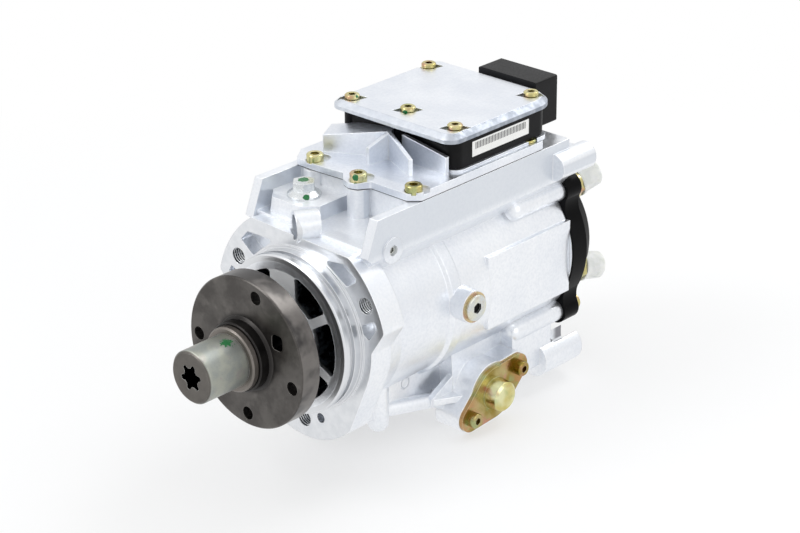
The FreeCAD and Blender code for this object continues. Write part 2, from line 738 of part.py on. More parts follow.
def increment_wheel():
    """A toothed disc with one gap in each quarter, read by the angle sensor."""
    teeth, tip, root = 60, 29.0, 26.6
    blank = turned("wheel_blank", [(12.5, 64), (17, 64), (17, 68), (tip, 68), (tip, 71), (12.5, 71)])
    gaps = []
    for i in range(teeth // 4 * 4):
        if i % (teeth // 4) == 0:
            continue
        middle = 360 / teeth * (i + 0.5)
        out = (math.cos(math.radians(middle)), 0, math.sin(math.radians(middle)))
        gaps.append((middle, out))
    tools = [vane_block(f"wheel_gap_{i}", out, middle, 0.75, root, tip + 1, 67.5, 71.5)
             for i, (middle, out) in enumerate(gaps)]
    node("increment_wheel", cut("increment_wheel", blank, tools))


def drive_disc():
    disc = turned("drive_disc_blank", [(10, 80), (31, 80), (32, 81), (32, 90), (31, 91), (10, 91)])
    dogs = [box(f"drive_dog_{i}", (-6.0, 90.0, low), (6.0, 99.4, low + 8.0)) for i, low in enumerate((12.2, -20.2))]
    node("drive_disc", join("drive_disc", [disc] + dogs))


def distributor_shaft():
    y = dim.cam_centre
    r, thin = dim.rotor_radius, dim.spindle_radius
    blank = turned("rotor_blank", [(0, 95), (r - 1, 95), (r, 96), (r, 121), (r - 1, 122), (thin, 122), (thin, 172), (0, 172)])
    tools = [
        rod("plunger_bore", 4.04, 46.0, (-23.0, y, 0), RIGHT),
        rod("needle_bore", 3.04, 30.0, (0, 143.0, 0), REAR),
        rod("filling_bore", 1.5, 40.0, (0, y, 0), REAR),
        box("shoe_slot_right", (12.4, y - 11, -5.65), (24.0, y + 11, 5.65)),
        box("shoe_slot_left", (-24.0, y - 11, -5.65), (-12.4, y + 11, 5.65)),
        box("dog_slot_top", (-6.1, 94.0, 12.1), (6.1, 99.5, 24.0)),
        box("dog_slot_bottom", (-6.1, 94.0, -24.0), (6.1, 99.5, -12.1)),
    ]
    node("distributor_shaft", cut("distributor_shaft", blank, tools))


def plunger_sets():
    """Each side has a plunger, the shoe that it pushes on and the shoe's roller."""
    y, seat, roller = dim.cam_centre, dim.roller_seat, dim.roller_radius
    for name, side, out in (("right", 1, RIGHT), ("left", -1, LEFT)):
        node(f"plunger_{name}", rod(f"plunger_{name}", 4.0, 10.6, (2.4 * side, y, 0), out))
        low, high = sorted((13.0 * side, 20.0 * side))
        shoe = box(f"shoe_{name}_block", (low, y - 10, -5.5), (high, y + 10, 5.5))
        hollow = rod(f"shoe_{name}_hollow", roller + 0.04, 22.0, (seat * side, y - 11, 0), REAR)
        node(f"roller_and_shoe_{name}", group(f"roller_and_shoe_{name}", [
            cut(f"shoe_{name}", shoe, [hollow]),
            rod(f"roller_{name}", roller, 19.0, (seat * side, y - 9.5, 0), REAR),
        ]))


def cam_ring():
    y, crest, valley = dim.cam_centre, dim.crest_radius, dim.valley_radius
    points = []
    for i in range(4):
        middle = 90 * i + dim.advance.number
        points += [polar(valley, middle - 26), (*polar(valley, middle + 26), valley),
                   polar(crest, middle + 36), (*polar(crest, middle + 54), crest)]
    track = slab("cam_track", "XZ", points, y - 12, 24.0)
    ring = rod("cam_ring_blank", dim.main_bore - 0.06, 20.0, (0, y - 10, 0), REAR)
    pin_hole = rod("cam_pin_hole", 4.5, 12.0, ball_pin_point(32.0), ball_pin_way())
    node("cam_ring", cut("cam_ring", ring, [track, pin_hole]))
    neck = rod("ball_pin_neck", 4.5, 30.0, ball_pin_point(33.0), ball_pin_way())
    node("ball_pin", join("ball_pin", [neck, ball("ball_pin_ball", 7.0, ball_pin_point(dim.timing_drop.number))]))


def ball_pin_way():
    """Straight down, less half of the advance, because the ring rests fully retarded."""
    lean = math.radians(dim.advance.number)
    return (math.sin(lean), 0, -math.cos(lean))


def ball_pin_point(radius):
    x, _, z = ball_pin_way()
    return (radius * x, dim.cam_centre, radius * z)


def angle_sensor():
    """A ring that follows the cam ring and carries the sensor over the wheel's teeth."""
    outer = dim.main_bore - 0.1
    band = tube("sensor_band", outer, 36.6, 66.0, 98.4)
    window = box("sensor_band_gap", (-45.0, 60.0, -45.0), (45.0, 100.0, 6.0))
    carrier = cut("sensor_carrier", band, [window])
    pod = box("sensor_pod", (-6.0, 66.0, 29.6), (6.0, 74.0, 36.4))
    pod = soften("sensor_pod_round", pod, 1.0, lambda e: runs_along(e, REAR))
    node("angle_sensor", group("angle_sensor", [carrier, pod]))


# Timing device

def timing_device():
    y, z, end = dim.cam_centre, -dim.timing_drop, dim.timing_end
    offset = dim.timing_drop.number * math.sin(math.radians(dim.advance.number))
    length = 44.0
    piston = turned("timing_piston_blank", [
        (0, -length / 2 + 6), (7.5, -length / 2 + 6), (7.5, -length / 2), (11, -length / 2), (12, 1 - length / 2),
        (12, length / 2 - 1), (11, length / 2), (0, length / 2),
    ], (offset, y, z), RIGHT)
    socket = rod("ball_socket", 7.04, 22.0, (offset, y, z - 8.0), UP)
    node("timing_piston", cut("timing_piston", piston, [socket]))
    node("timing_spring", timing_spring(offset - length / 2 + 6))
    seat = 0.0
    cap = turned("timing_cap", [(0, 0), (10, 0), (10, 1.2), (9.2, 7.6), (7.6, 9), (0, 9)], (end + 2.5, y, z), RIGHT)
    plate = slab("timing_cover_plate", "YZ", cover_outline(), end + seat, 2.5)
    holes = [rod(f"timing_cover_hole_{i}", 2.7, 4.0, (end - 0.5, yy, zz), RIGHT)
             for i, (yy, zz) in enumerate(timing_screw_places())]
    node("timing_cover", cut("timing_cover", join("timing_cover_solid", [plate, cap]), holes))
    far_plate = slab("timing_far_plate", "YZ", cover_outline(), -end - 3.0, 3.0)
    stop = rod("timing_far_spigot", 9.0, 8.0, (-end, y, z), RIGHT)
    far_holes = [rod(f"timing_far_hole_{i}", 2.7, 5.0, (-end + 0.5, yy, zz), LEFT)
                 for i, (yy, zz) in enumerate(timing_screw_places())]
    node("spring_cover", cut("spring_cover", join("spring_cover_solid", [far_plate, stop]), far_holes))
    screws = []
    for i, (yy, zz) in enumerate(timing_screw_places()):
        screws.append(screw(f"timing_screw_{i}", (end + 2.5, yy, zz), RIGHT, 4.6, 5.0, 2.5, 13.0, 4.0))
        screws.append(screw(f"spring_cover_screw_{i}", (-end - 3.0, yy, zz), LEFT, 4.6, 5.0, 2.5, 13.0, 4.0))
    node("timing_screws", group("timing_screws", screws))


def timing_spring(piston_floor):
    """A coil from the far cover's spigot to the floor of the piston's recess."""
    wire = 1.0
    start = -dim.timing_end.number + 8.0 + wire
    turns = 5
    rise = piston_floor - wire - start
    helix = doc.addObject("Part::Helix", "spring_line")
    helix.Pitch, helix.Height, helix.Radius = rise / turns, rise, 6.0
    section = doc.addObject("Part::Circle", "spring_wire")
    section.Radius = wire
    section.Placement = Placement(Vector(6.0, 0, 0), Rotation(Vector(1, 0, 0), 90))
    coil = doc.addObject("Part::Sweep", "timing_spring")
    coil.Sections, coil.Spine, coil.Solid, coil.Frenet = [section], (helix, []), True, True
    return place(coil, (start, dim.cam_centre, -dim.timing_drop), RIGHT)


def timing_solenoid():
    body = turned("timing_solenoid_blank", [
        (3.05, 58.5), (3.05, 76), (8.95, 76), (8.95, 66), (13.5, 66), (13.5, 44), (12, 42), (0, 42), (0, 58.5),
    ], (-26.0, 0, -62.0))
    tab = rounded_box("timing_solenoid_tab", (-50.0, 46.0, -68.0), (-36.0, 58.0, -57.0), 2.0, REAR)
    node("timing_solenoid", join("timing_solenoid", [body, tab]))
    node("timing_valve_needle", turned("timing_valve_needle", [
        (0, 60), (3.0, 60), (3.0, 74), (1.2, 77.5), (0, 77.5)], (-26.0, 0, -62.0)))


# Distributor head

def distributor_head():
    y_front = dim.barrel_end
    y_rear = y_front + dim.plate_depth
    y_back = y_rear + dim.hub_rise
    ear, circle, r = dim.ear_radius, dim.ear_circle, dim.plate_radius
    plate = rod("head_plate", r, dim.plate_depth, (0, y_front, 0), REAR)
    ears = []
    for i in range(4):
        degrees = 45 + 90 * i
        ears.append(head_ear(f"head_ear_{i}", degrees, y_front))
    tail = cone("head_cone", 49.5, 44.5, dim.hub_rise, (0, y_rear, 0), REAR)
    stem = rod("head_barrel", dim.main_bore - 0.05, y_front - 128.0, (0, 128.0, 0), REAR)
    tools = [
        rod("sleeve_bore", 15.0, 46.0, (0, 127.0, 0), REAR),
        rod("armature_bore", 14.0, 35.0, (0, 172.9, 0), REAR),
        tube("head_seal_groove", 42.0, 37.6, 168.0, 171.0),
    ]
    for i, (x, z) in enumerate(head_screw_places()):
        tools.append(rod(f"head_hole_{i}", 3.3, dim.plate_depth + 2, (x, y_front - 1, z), REAR))
    for i in range(4):
        at, out = outlet(i, -17.0)
        tools.append(rod(f"outlet_hole_{i}", 7.0, 20.0, at, out))
    solid = join("head_solid", [plate, tail, stem] + ears)
    node("distributor_head", cut("distributor_head", solid, tools))
    node("distributor_sleeve", tube("distributor_sleeve", 15.0, dim.spindle_radius + 0.04, 128.0, 172.9))
    node("head_seal", turned("head_seal", [(37.6, 168.2), (39.9, 168.2), (39.9, 170.8), (37.6, 170.8)]))
    node("head_screws", group("head_screws", [
        screw(f"head_screw_{i}", (x, y_rear, z), REAR, 5.0, 6.0, 3.0, 34.0, 5.0)
        for i, (x, z) in enumerate(head_screw_places())]))


def head_ear(name, degrees, y_front):
    """One narrow ear of the plate, with hollow flanks running out of the disc."""
    ear, circle, r = dim.ear_radius.number, dim.ear_circle.number, dim.plate_radius.number
    points = [
        polar(r, degrees + 19), polar(r - 14, degrees + 24), polar(r - 14, degrees - 24), polar(r, degrees - 19),
    ]
    centre = polar(circle, degrees)
    low, high = [tuple(c + s for c, s in zip(centre, polar(ear, degrees + turn))) for turn in (-78, 78)]
    points += [(*low, -14.0), (*high, ear)]
    points[0] = (*points[0], -14.0)
    return slab(name, "XZ", points, y_front, dim.plate_depth)


OUTLET_PLACES = (51, 129, 222, 318)


def outlet(index, distance):
    """A point along one outlet's axis and the axis, counted from the cone's rear face."""
    degrees = OUTLET_PLACES[index]
    lean = math.radians(dim.outlet_splay.number)
    x, z = polar(1, degrees)
    out = (x * math.sin(lean), math.cos(lean), z * math.sin(lean))
    rear = dim.barrel_end.number + dim.plate_depth.number + dim.hub_rise.number
    circle = dim.outlet_circle.number
    start = (circle * x, rear, circle * z)
    return tuple(s + distance * o for s, o in zip(start, out)), out


def outlets():
    fittings, caps = [], []
    for i in range(4):
        at, out = outlet(i, 0.0)
        blank = turned(f"outlet_blank_{i}", [
            (1.2, -15.5), (6.9, -15.5), (6.9, 2), (7, 2), (7, 21), (6.2, 22), (3, 22), (1.5, 19), (1.5, 12),
            (3.5, 10), (3.5, -12), (1.2, -12),
        ], at, out)
        nut = prism(f"outlet_hexagon_{i}", 17.0, 7.0, shift(at, out, 3.4), out)
        bore = rod(f"outlet_nut_bore_{i}", 3.6, 10.0, shift(at, out, 1.0), out)
        nut_ring = cut(f"outlet_ring_{i}", nut, [bore])
        fittings.append(join(f"delivery_fitting_{i}", [blank, nut_ring]))
        node(f"delivery_valve_{i + 1}", turned(f"delivery_valve_{i + 1}", [
            (0, -11.9), (2.2, -11.9), (3.46, -10.4), (3.46, -2), (2, -2), (2, 2), (0, 2)], at, out))
        caps.append(turned(f"dust_cap_{i}", [
            (7.05, 10.7), (9.5, 10.7), (9.5, 12.5), (8.9, 12.9), (8.5, 25.2), (7.7, 26.2), (0, 26.2), (0, 22.4),
            (7.05, 22.4)], at, out))
    node("delivery_fittings", group("delivery_fittings", fittings))
    node("dust_caps", group("dust_caps", caps))


def pressure_solenoid():
    """The valve that ends each injection, screwed into the back of the head."""
    rear = 203.0
    node("pressure_solenoid", turned("pressure_solenoid", [
        (0, 185), (13.95, 185), (13.95, rear), (19.5, rear), (19.5, 219), (17.5, 221), (9, 221), (9, 224), (0, 224)]))
    node("valve_needle", turned("valve_needle", [
        (0, 145), (3.0, 145), (3.0, 178), (11.5, 178), (11.5, 183), (0, 183)]))


# Plugs, valves and fittings of the housing

def plugs():
    at = (PLUG_SEAT + 0.8, *PLUG_PLACE)
    node("side_plug_washer", tube("side_plug_washer", 9.2, 6.1, PLUG_SEAT, at[0], (0, *PLUG_PLACE), RIGHT))
    node("side_plug", screw("side_plug", at, RIGHT, 7.9, 2.0, 5.95, 10.0, 6.0))
    node("lock_screw", screw("lock_screw", (46.0, 24.4, 53.6), RIGHT, 3.0, 1.4, 2.9, 8.0, 3.0, 0.3))
    x, y = VALVE_PLACE
    top = dim.block_top
    flange = turned("deck_plug_flange", [
        (0, -10), (6.2, -10), (6.95, -9.2), (6.95, 0), (9.9, 0), (9.9, 1.2), (6.4, 3.6), (0, 3.6)], (x, y, top), UP)
    head = prism("deck_plug_head", 12.0, 8.6, (x, y, top), UP, 12.0)
    node("deck_plug", join("deck_plug", [flange, head]))
    node("control_valve_sleeve", turned("control_valve_sleeve", [
        (4.54, 40), (4.54, 55.5), (6.95, 55.5), (6.95, 38.4), (2, 38.4), (2, 40)], (x, y, 0), UP))
    node("control_valve_piston", turned("control_valve_piston", [
        (0, 40.1), (4.5, 40.1), (4.5, 47), (3, 47), (3, 43), (0, 43)], (x, y, 0), UP))


def ports():
    """Fuel inlet and return on the far side."""
    at = (-56.0, 44.0, 8.0)
    stub = turned("inlet_stub", [
        (3.5, -16), (6.9, -16), (6.9, 0), (9.4, 0), (9.4, 1), (6, 1), (6, 9), (4.6, 10), (4.6, 24), (5.4, 26), (4.6, 28),
        (3.5, 28)], at, LEFT)
    nut = cut("inlet_hexagon_ring", prism("inlet_hexagon", 19.0, 7.0, shift(at, LEFT, 1.0), LEFT),
              [rod("inlet_hexagon_bore", 3.6, 9.0, at, LEFT)])
    node("inlet_fitting", join("inlet_fitting", [stub, nut]))
    back = (-56.0, 88.0, 14.0)
    body = turned("overflow_blank", [
        (3.2, -12), (5.9, -12), (5.9, 0), (8.2, 0), (8.2, 1), (5.6, 1), (5.6, 18), (4.4, 19), (2, 19), (2, 14), (3.2, 12)],
        back, LEFT)
    ring = cut("overflow_hexagon_ring", prism("overflow_hexagon", 17.0, 8.0, shift(back, LEFT, 1.0), LEFT),
               [rod("overflow_hexagon_bore", 3.4, 10.0, back, LEFT)])
    node("overflow_valve", join("overflow_valve", [body, ring]))
    node("overflow_ball", ball("overflow_ball", 3.1, shift(back, LEFT, 4.0)))


# Control unit

def base_outline(inset=0.0):
    half = dim.roof_half
    i = inset
    return [
        (half - i, 154.0 - i), (-half + i, 154.0 - i), (-half + i, 50.0), (-42.0 + i * 0.7, 40.5 + i), (-27.0, 40.5 + i),
        (-6.5, 42.0 + i), (-1.0, 36.4 + i), (4.5, 34.6 + i), (10.0, 36.4 + i), (14.5, 42.8 + i), (42.0, 42.8 + i),
        (half - i, 48.4),
    ]


def control_base():
    low = dim.roof_top + dim.gasket_depth
    top = low + dim.base_depth
    step = low + 5.0
    flange = slab("base_flange_plate", "XY", base_outline(), low, 5.0)
    flange = soften("base_flange", flange, 2.5, lambda e: runs_along(e, UP))
    tier = rounded_box("base_tier", (dim.lid_left + 2, 80.5, step - 1), (45.0, 162.5, top), 7.0, UP)
    fall = slab("front_fall", "YZ", [(30.0, 78.2), (50.0, step), (50.0, 90.0), (30.0, 90.0)], -60.0, 120.0)
    tools = [box("case_room", (-60.0, 80.6, top), (60.0, 170.0, 120.0)), fall]
    for i, (x, y) in enumerate(base_screw_places()):
        tools.append(rod(f"base_hole_{i}", 3.3, 24.0, (x, y, low - 1), UP))
        tools.append(rod(f"base_spot_{i}", 5.4, 22.0, (x, y, step - BASE_SEAT), UP))
        if i < 3:
            tools.append(rod(f"base_spot_tail_{i}", 5.2, 22.0, (x + 2.2, y + 3.4, step - BASE_SEAT), UP))
    for i, (x, y) in enumerate(lid_screw_places()):
        tools.append(rod(f"base_tap_{i}", 2.05, 30.0, (x, y, low + 1.5), UP))
    node("control_unit_base", cut("control_unit_base", join("base_solid", [flange, tier] + fan_ribs(step)), tools))


BASE_SEAT = 1.9
FAN_APEX = (-1.0, 74.6)
FAN_RIBS = [
    # end of the rib, its thickness in front of and behind the line from the apex
    ((-36.0, 56.0), 0.0, 17.9),
    ((-2.8, 58.4), 1.3, 1.3),
    ((27.6, 61.6), 1.3, 1.3),
    ((40.4, 78.0), 1.3, 1.3),
]


def fan_ribs(step):
    """Ribs that fan out from one point under the lid, each with a top that slopes down to its end."""
    high, low = 15.9, 10.2
    ribs = []
    for i, ((x, y), before, behind) in enumerate(FAN_RIBS):
        start = (8.7, 77.0) if i == 3 else FAN_APEX
        run_x, run_y = x - start[0], y - start[1]
        length = math.hypot(run_x, run_y)
        profile = [(-1.0, -1.0), (length, -1.0), (length, low), (0.0, high), (-1.0, high)]
        rib = slab(f"fan_rib_{i}", "XZ", profile, -behind, before + behind)
        ribs.append(place(rib, (start[0], start[1], step), UP, math.degrees(math.atan2(run_y, run_x))))
    return ribs


def lid_screw_places():
    return [(-39.5, 84.3), (-42.6, 153.7), (-1.7, 91.2), (37.3, 87.9), (35.0, 156.7)]


def control_case():
    low = dim.roof_top + dim.gasket_depth + dim.base_depth
    high = low + dim.case_depth
    wall = 3.0
    left, right, front, rear = dim.lid_left + 3.5, dim.lid_right - 3.6, 80.8, 162.0
    outer = rounded_box("case_outer", (left, front, low), (right, rear, high), 7.0, UP)
    inner = rounded_box("case_inner", (left + wall, front + wall, low - 1), (right - wall, rear - wall, high + 1), 5.0, UP)
    shell = cut("case_shell", outer, [inner])
    places = lid_screw_places()
    posts = [rod(f"case_post_{i}", 4.6, dim.case_depth, (x, y, low), UP) for i, (x, y) in enumerate(places)]
    holes = [rod(f"case_hole_{i}", 2.2, dim.case_depth + 2, (x, y, low - 1), UP) for i, (x, y) in enumerate(places)]
    node("control_unit_case", cut("control_unit_case", join("case_solid", [shell] + posts), holes))


def lid_outline():
    """Rounded corners, the one by the connector rounder than the rest."""
    left, right, front, rear = dim.lid_left, dim.lid_right, dim.lid_front, dim.lid_rear
    r, wide = 8.5, 17.0
    return [
        (left + r, front), (right - r, front), (right, front + r, r), (right, rear - wide), (right - wide, rear, wide),
        (left + r, rear), (left, rear - r, r), (left, front + r),
    ]


def control_lid():
    low = dim.roof_top + dim.gasket_depth + dim.base_depth + dim.case_depth
    rim_depth, lean = 2.3, 50.0
    seat = low + 2.9
    points = lid_outline()
    points[0] = (*points[0], 8.5)
    rim = slab("lid_rim", "XY", points, low, rim_depth)
    crown = slab("lid_crown", "XY", points, low + rim_depth, dim.lid_depth - rim_depth, -lean)
    tools = [box("lid_hollow", (dim.lid_left + 12, dim.lid_front + 24, low - 1), (36.0, 148.0, low + 2.4))]
    for i, (x, y) in enumerate(lid_screw_places()):
        tools.append(rod(f"lid_hole_{i}", 2.2, 16.0, (x, y, low - 1), UP))
        tools.append(lid_pocket(f"lid_pocket_{i}", x, y, seat))
    node("control_unit_cover", cut("control_unit_cover", join("lid_solid", [rim, crown]), tools))
    node("cover_screws", group("cover_screws", [
        screw(f"lid_screw_{i}", (x, y, seat), UP, 4.45, 4.7, 2.0, 22.5, 4.0)
        for i, (x, y) in enumerate(lid_screw_places())]))


def lid_pocket(name, x, y, seat):
    """A pocket round a screw, drawn out to a point on each side."""
    round_part, reach, across = 5.4, 9.2, 2.6
    points = [(-reach, 0), (-across, -round_part + 0.7), (across, -round_part + 0.7, round_part), (reach, 0),
              (across, round_part - 0.7), (-across, round_part - 0.7, round_part)]
    return place(slab(name, "XY", points, 0.0, 10.0), (x, y, seat), UP, 45.0)


def control_small_parts():
    low, gap = dim.roof_top, dim.gasket_depth
    gasket = slab("gasket_sheet", "XY", base_outline(0.4), low, gap)
    holes = [rod(f"gasket_hole_{i}", 3.3, 2.0, (x, y, low - 0.5), UP) for i, (x, y) in enumerate(base_screw_places())]
    node("control_unit_gasket", cut("control_unit_gasket", gasket, holes))
    seat = low + gap + 5.0 - BASE_SEAT
    node("base_screws", group("base_screws", [
        screw(f"base_screw_{i}", (x, y, seat), UP, 5.0, 5.0 if i < 3 else 3.2, 3.0, 17.0, 5.0)
        for i, (x, y) in enumerate(base_screw_places())]))
    floor = low + gap + dim.base_depth
    board = box("board_sheet", (-36.0, 98.0, floor + 3), (35.0, 147.0, floor + 4.6))
    pillars = [rod(f"board_pillar_{i}", 2.5, 3.0, (x, y, floor), UP)
               for i, (x, y) in enumerate([(-33, 101), (32, 101), (-33, 144), (32, 144)])]
    chips = [box(f"board_chip_{i}", (x, y, floor + 4.6), (x + w, y + d, floor + 4.6 + h))
             for i, (x, y, w, d, h) in enumerate([(-28, 100, 22, 22, 3), (2, 102, 14, 14, 2.4), (20, 104, 10, 16, 4),
                                                  (-26, 128, 12, 9, 4), (-4, 126, 30, 12, 3)])]
    node("circuit_board", join("circuit_board", [board] + pillars + chips))


def connector():
    """The plug housing at the rear, open to the rear, with two rows of pins."""
    left, right, front, rear, low, high = -16.0, 28.5, 163.0, 188.5, 78.0, 107.0
    blank = rounded_box("connector_blank", (left, front, low), (right, rear, high), 1.2, REAR)
    socket = rounded_box("connector_socket", (left + 4, 172.0, low + 4.5), (right - 4, rear + 1, high - 4.5), 2.5, REAR)
    gap = box("connector_step", (left - 1, front - 1, low - 1), (right + 1, 166.8, 84.0))
    brow = box("connector_brow", (left - 1, front - 1, 97.0), (right + 1, dim.lid_rear + 0.3, high + 1))
    node("connector_housing", cut("connector_housing", blank, [socket, gap, brow]))
    pins = []
    for row, z in enumerate((88.0, 97.5)):
        for column in range(5 - row):
            x = left + 10.0 + 6.1 * column + 3.05 * row
            pins.append(box(f"connector_pin_{row}_{column}", (x - 0.4, 172.0, z - 1.2), (x + 0.4, 182.0, z + 1.2)))
    node("connector_pins", group("connector_pins", pins))


def build_all():
    housing()
    bearings()
    drive_shaft()
    drive_hub()
    hub_nut()
    supply_pump()
    increment_wheel()
    drive_disc()
    distributor_shaft()
    plunger_sets()
    cam_ring()
    angle_sensor()
    timing_device()
    timing_solenoid()
    distributor_head()
    outlets()
    pressure_solenoid()
    plugs()
    ports()
    control_base()
    control_case()
    control_lid()
    control_small_parts()
    connector()
    doc.recompute()


def check_and_write():
    """Stop on any failed feature or bad solid, then write one file for each node."""
    for thing in doc.Objects:
        if "Invalid" in thing.State or "Error" in thing.State:
            raise RuntimeError(f"{thing.Name} failed: {thing.State}")
    os.makedirs("parts", exist_ok=True)
    for thing in nodes:
        shape = thing.Shape
        if shape.isNull() or not shape.isValid() or shape.Volume <= 0:
            raise RuntimeError(f"{thing.Label} isn't a valid solid")
        shape.exportStep(os.path.join("parts", f"{thing.Label}.step"))
        print(f"{thing.Label}: {len(shape.Solids)} solid(s), {shape.Volume / 1000:.2f} cm3")


build_all()
check_and_write()
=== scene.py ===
# %% [markdown]
# A diesel injection pump, dressed for a studio picture. The imported model is the fixed frame: every
# casting, screw and shaft already stands in its place, in metres, with the shaft along Y and the
# control unit on top. This script gives each of them its real finish, and adds what is too fine
# or too soft for the solids: threads, a label and a wound spring.

# %% Load the frame
import math

import bpy
from mathutils import Matrix, Vector


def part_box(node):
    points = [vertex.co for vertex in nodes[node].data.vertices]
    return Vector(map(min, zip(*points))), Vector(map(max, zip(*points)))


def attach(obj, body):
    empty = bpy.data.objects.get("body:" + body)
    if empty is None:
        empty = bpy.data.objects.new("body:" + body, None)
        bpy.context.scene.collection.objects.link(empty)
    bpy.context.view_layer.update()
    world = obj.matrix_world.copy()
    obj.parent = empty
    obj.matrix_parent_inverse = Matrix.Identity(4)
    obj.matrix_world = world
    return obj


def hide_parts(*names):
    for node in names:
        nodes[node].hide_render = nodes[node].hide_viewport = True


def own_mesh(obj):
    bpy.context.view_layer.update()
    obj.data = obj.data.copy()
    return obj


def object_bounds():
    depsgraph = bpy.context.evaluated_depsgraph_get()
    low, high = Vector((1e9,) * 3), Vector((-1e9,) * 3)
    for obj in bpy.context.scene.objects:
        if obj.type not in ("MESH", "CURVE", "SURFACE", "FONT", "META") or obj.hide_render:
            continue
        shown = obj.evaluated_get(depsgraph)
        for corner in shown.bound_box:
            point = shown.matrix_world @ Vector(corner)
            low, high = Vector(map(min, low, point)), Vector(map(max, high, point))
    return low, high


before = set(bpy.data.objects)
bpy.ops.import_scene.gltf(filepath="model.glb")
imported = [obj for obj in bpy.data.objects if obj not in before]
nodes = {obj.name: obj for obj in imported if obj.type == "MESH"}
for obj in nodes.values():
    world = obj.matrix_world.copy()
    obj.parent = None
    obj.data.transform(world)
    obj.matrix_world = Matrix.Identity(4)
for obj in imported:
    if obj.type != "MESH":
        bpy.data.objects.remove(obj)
cad_low, cad_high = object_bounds()
MM = 0.001
print("the pump measures", [round((b - a) / MM, 1) for a, b in zip(cad_low, cad_high)], "mm")

# %% [markdown]
# The camera looks at the drive end from the front right and from above. Its place was solved from
# the round hub, the flange and the bolt circles, so the picture's perspective is the real one. The
# lens is given by the focal length in pixels of an image that is 800 pixels wide.

# %% Camera
IMAGE_WIDTH, FOCAL_PIXELS = 800, 2379.46
CAMERA_PLACE = (0.8681, -0.8430, 0.5879)
back = Vector((0.6229, -0.6633, 0.4147)).normalized()
right = Vector((0.7317, 0.6816, -0.0087))
right = (right - back * right.dot(back)).normalized()
up = back.cross(right)
lens = bpy.data.cameras.new("camera")
lens.sensor_width = 36.0
lens.lens = FOCAL_PIXELS * lens.sensor_width / IMAGE_WIDTH
lens.clip_start, lens.clip_end = 0.05, 50.0
camera = bpy.data.objects.new("camera", lens)
bpy.context.scene.collection.objects.link(camera)
camera.matrix_world = Matrix.Translation(CAMERA_PLACE) @ Matrix((right, up, back)).transposed().to_4x4()
bpy.context.scene.camera = camera
print("lens", round(lens.lens, 2), "mm")

# %% [markdown]
# Colours are written as sRGB hex values, as a colour picker shows them. Blender's shaders work with
# linear light, so one function turns the one into the other. A second small function adds a node of
# any kind, with its settings and its links, which keeps every material below short enough to read.
# A kind that is used often gets a name: MASK is a soft step from 0 to 1 between two values, and BLEND
# mixes two colours.


# %% Add a node
def linear(code, alpha=1.0):
    channels = [int(code[i:i + 2], 16) / 255 for i in (1, 3, 5)]
    return (*[c / 12.92 if c <= 0.04045 else ((c + 0.055) / 1.055) ** 2.4 for c in channels], alpha)


def add(tree, kind, *values, **named):
    """Adds a node. Values go to its open inputs in their order, named ones to the input of that name.

    A kind is a node's type, alone or with its settings. A node given as a value stands for its first
    open output, and a hex code for its colour.
    """
    type_name, settings = kind if isinstance(kind, tuple) else (kind, {})
    made = tree.nodes.new(type_name)
    for key, value in settings.items():
        setattr(made, key, value)
    given = list(zip([socket for socket in made.inputs if socket.enabled], values))
    given += [(made.inputs[key.replace("_", " ")], value) for key, value in named.items()]
    for socket, value in given:
        if isinstance(value, bpy.types.Node):
            value = next(output for output in value.outputs if output.enabled)
        if isinstance(value, bpy.types.NodeSocket):
            tree.links.new(value, socket)
        elif isinstance(value, str):
            socket.default_value = linear(value)
        else:
            socket.default_value = value
    return made


MASK = ("ShaderNodeMapRange", {"interpolation_type": "SMOOTHSTEP"})
BLEND = ("ShaderNodeMix", {"data_type": "RGBA"})
BLEND_VALUE = ("ShaderNodeMix", {"data_type": "FLOAT"})
TIMES = ("ShaderNodeMath", {"operation": "MULTIPLY"})
TIMES_PLUS = ("ShaderNodeMath", {"operation": "MULTIPLY_ADD"})
MINUS = ("ShaderNodeMath", {"operation": "SUBTRACT"})
LARGER = ("ShaderNodeMath", {"operation": "MAXIMUM"})
SINE = ("ShaderNodeMath", {"operation": "SINE"})
LENGTH = ("ShaderNodeVectorMath", {"operation": "LENGTH"})
DISTANCE = ("ShaderNodeVectorMath", {"operation": "DISTANCE"})
LIKENESS = ("ShaderNodeVectorMath", {"operation": "DOT_PRODUCT"})
SPLIT = "ShaderNodeSeparateXYZ"
NOISE = "ShaderNodeTexNoise"
BUMP = "ShaderNodeBump"
FALLING = (1.0, 0.0)

# %% [markdown]
# All finishes of the pump share a few recipes of two or more nodes. Each starts from a point on the
# part in metres, and each noise from the real size of its blobs. Lighter edges, partly wear and partly
# a painted highlight, come from the Bevel node, which compares the rounded normal with the plain one,
# and painted shade in sockets and corners from ambient occlusion that looks only a few millimetres far.


# %% Recipes that the finishes share
def start_material(name):
    """A new material, its nodes, and the point on the part that is being shaded."""
    made = bpy.data.materials.new(name)
    made.use_nodes = True
    made.node_tree.nodes.clear()
    return made, made.node_tree, add(made.node_tree, "ShaderNodeTexCoord").outputs["Object"]


def finish_material(tree, **inputs):
    shader = add(tree, "ShaderNodeBsdfPrincipled", **inputs)
    add(tree, "ShaderNodeOutputMaterial", Surface=shader)


def size(blob_mm):
    """The scale of a noise whose blobs are about blob_mm across."""
    return 1.0 / (blob_mm * MM)


def off_axis(tree, first, second):
    """Distance from an axis, from the two coordinates that lie across it."""
    return add(tree, LENGTH, add(tree, "ShaderNodeCombineXYZ", X=first, Z=second))


def close_to(tree, where, point_mm, radius_mm, ragged, blob_mm):
    """1 inside a ragged blot round a point, 0 outside."""
    away = add(tree, DISTANCE, where, [c * MM for c in point_mm])
    edge = add(tree, TIMES_PLUS, add(tree, NOISE, where, size(blob_mm), 2.0, 0.55), ragged * MM, away)
    return add(tree, MASK, edge, radius_mm * MM, (radius_mm + 0.35) * MM, *FALLING)
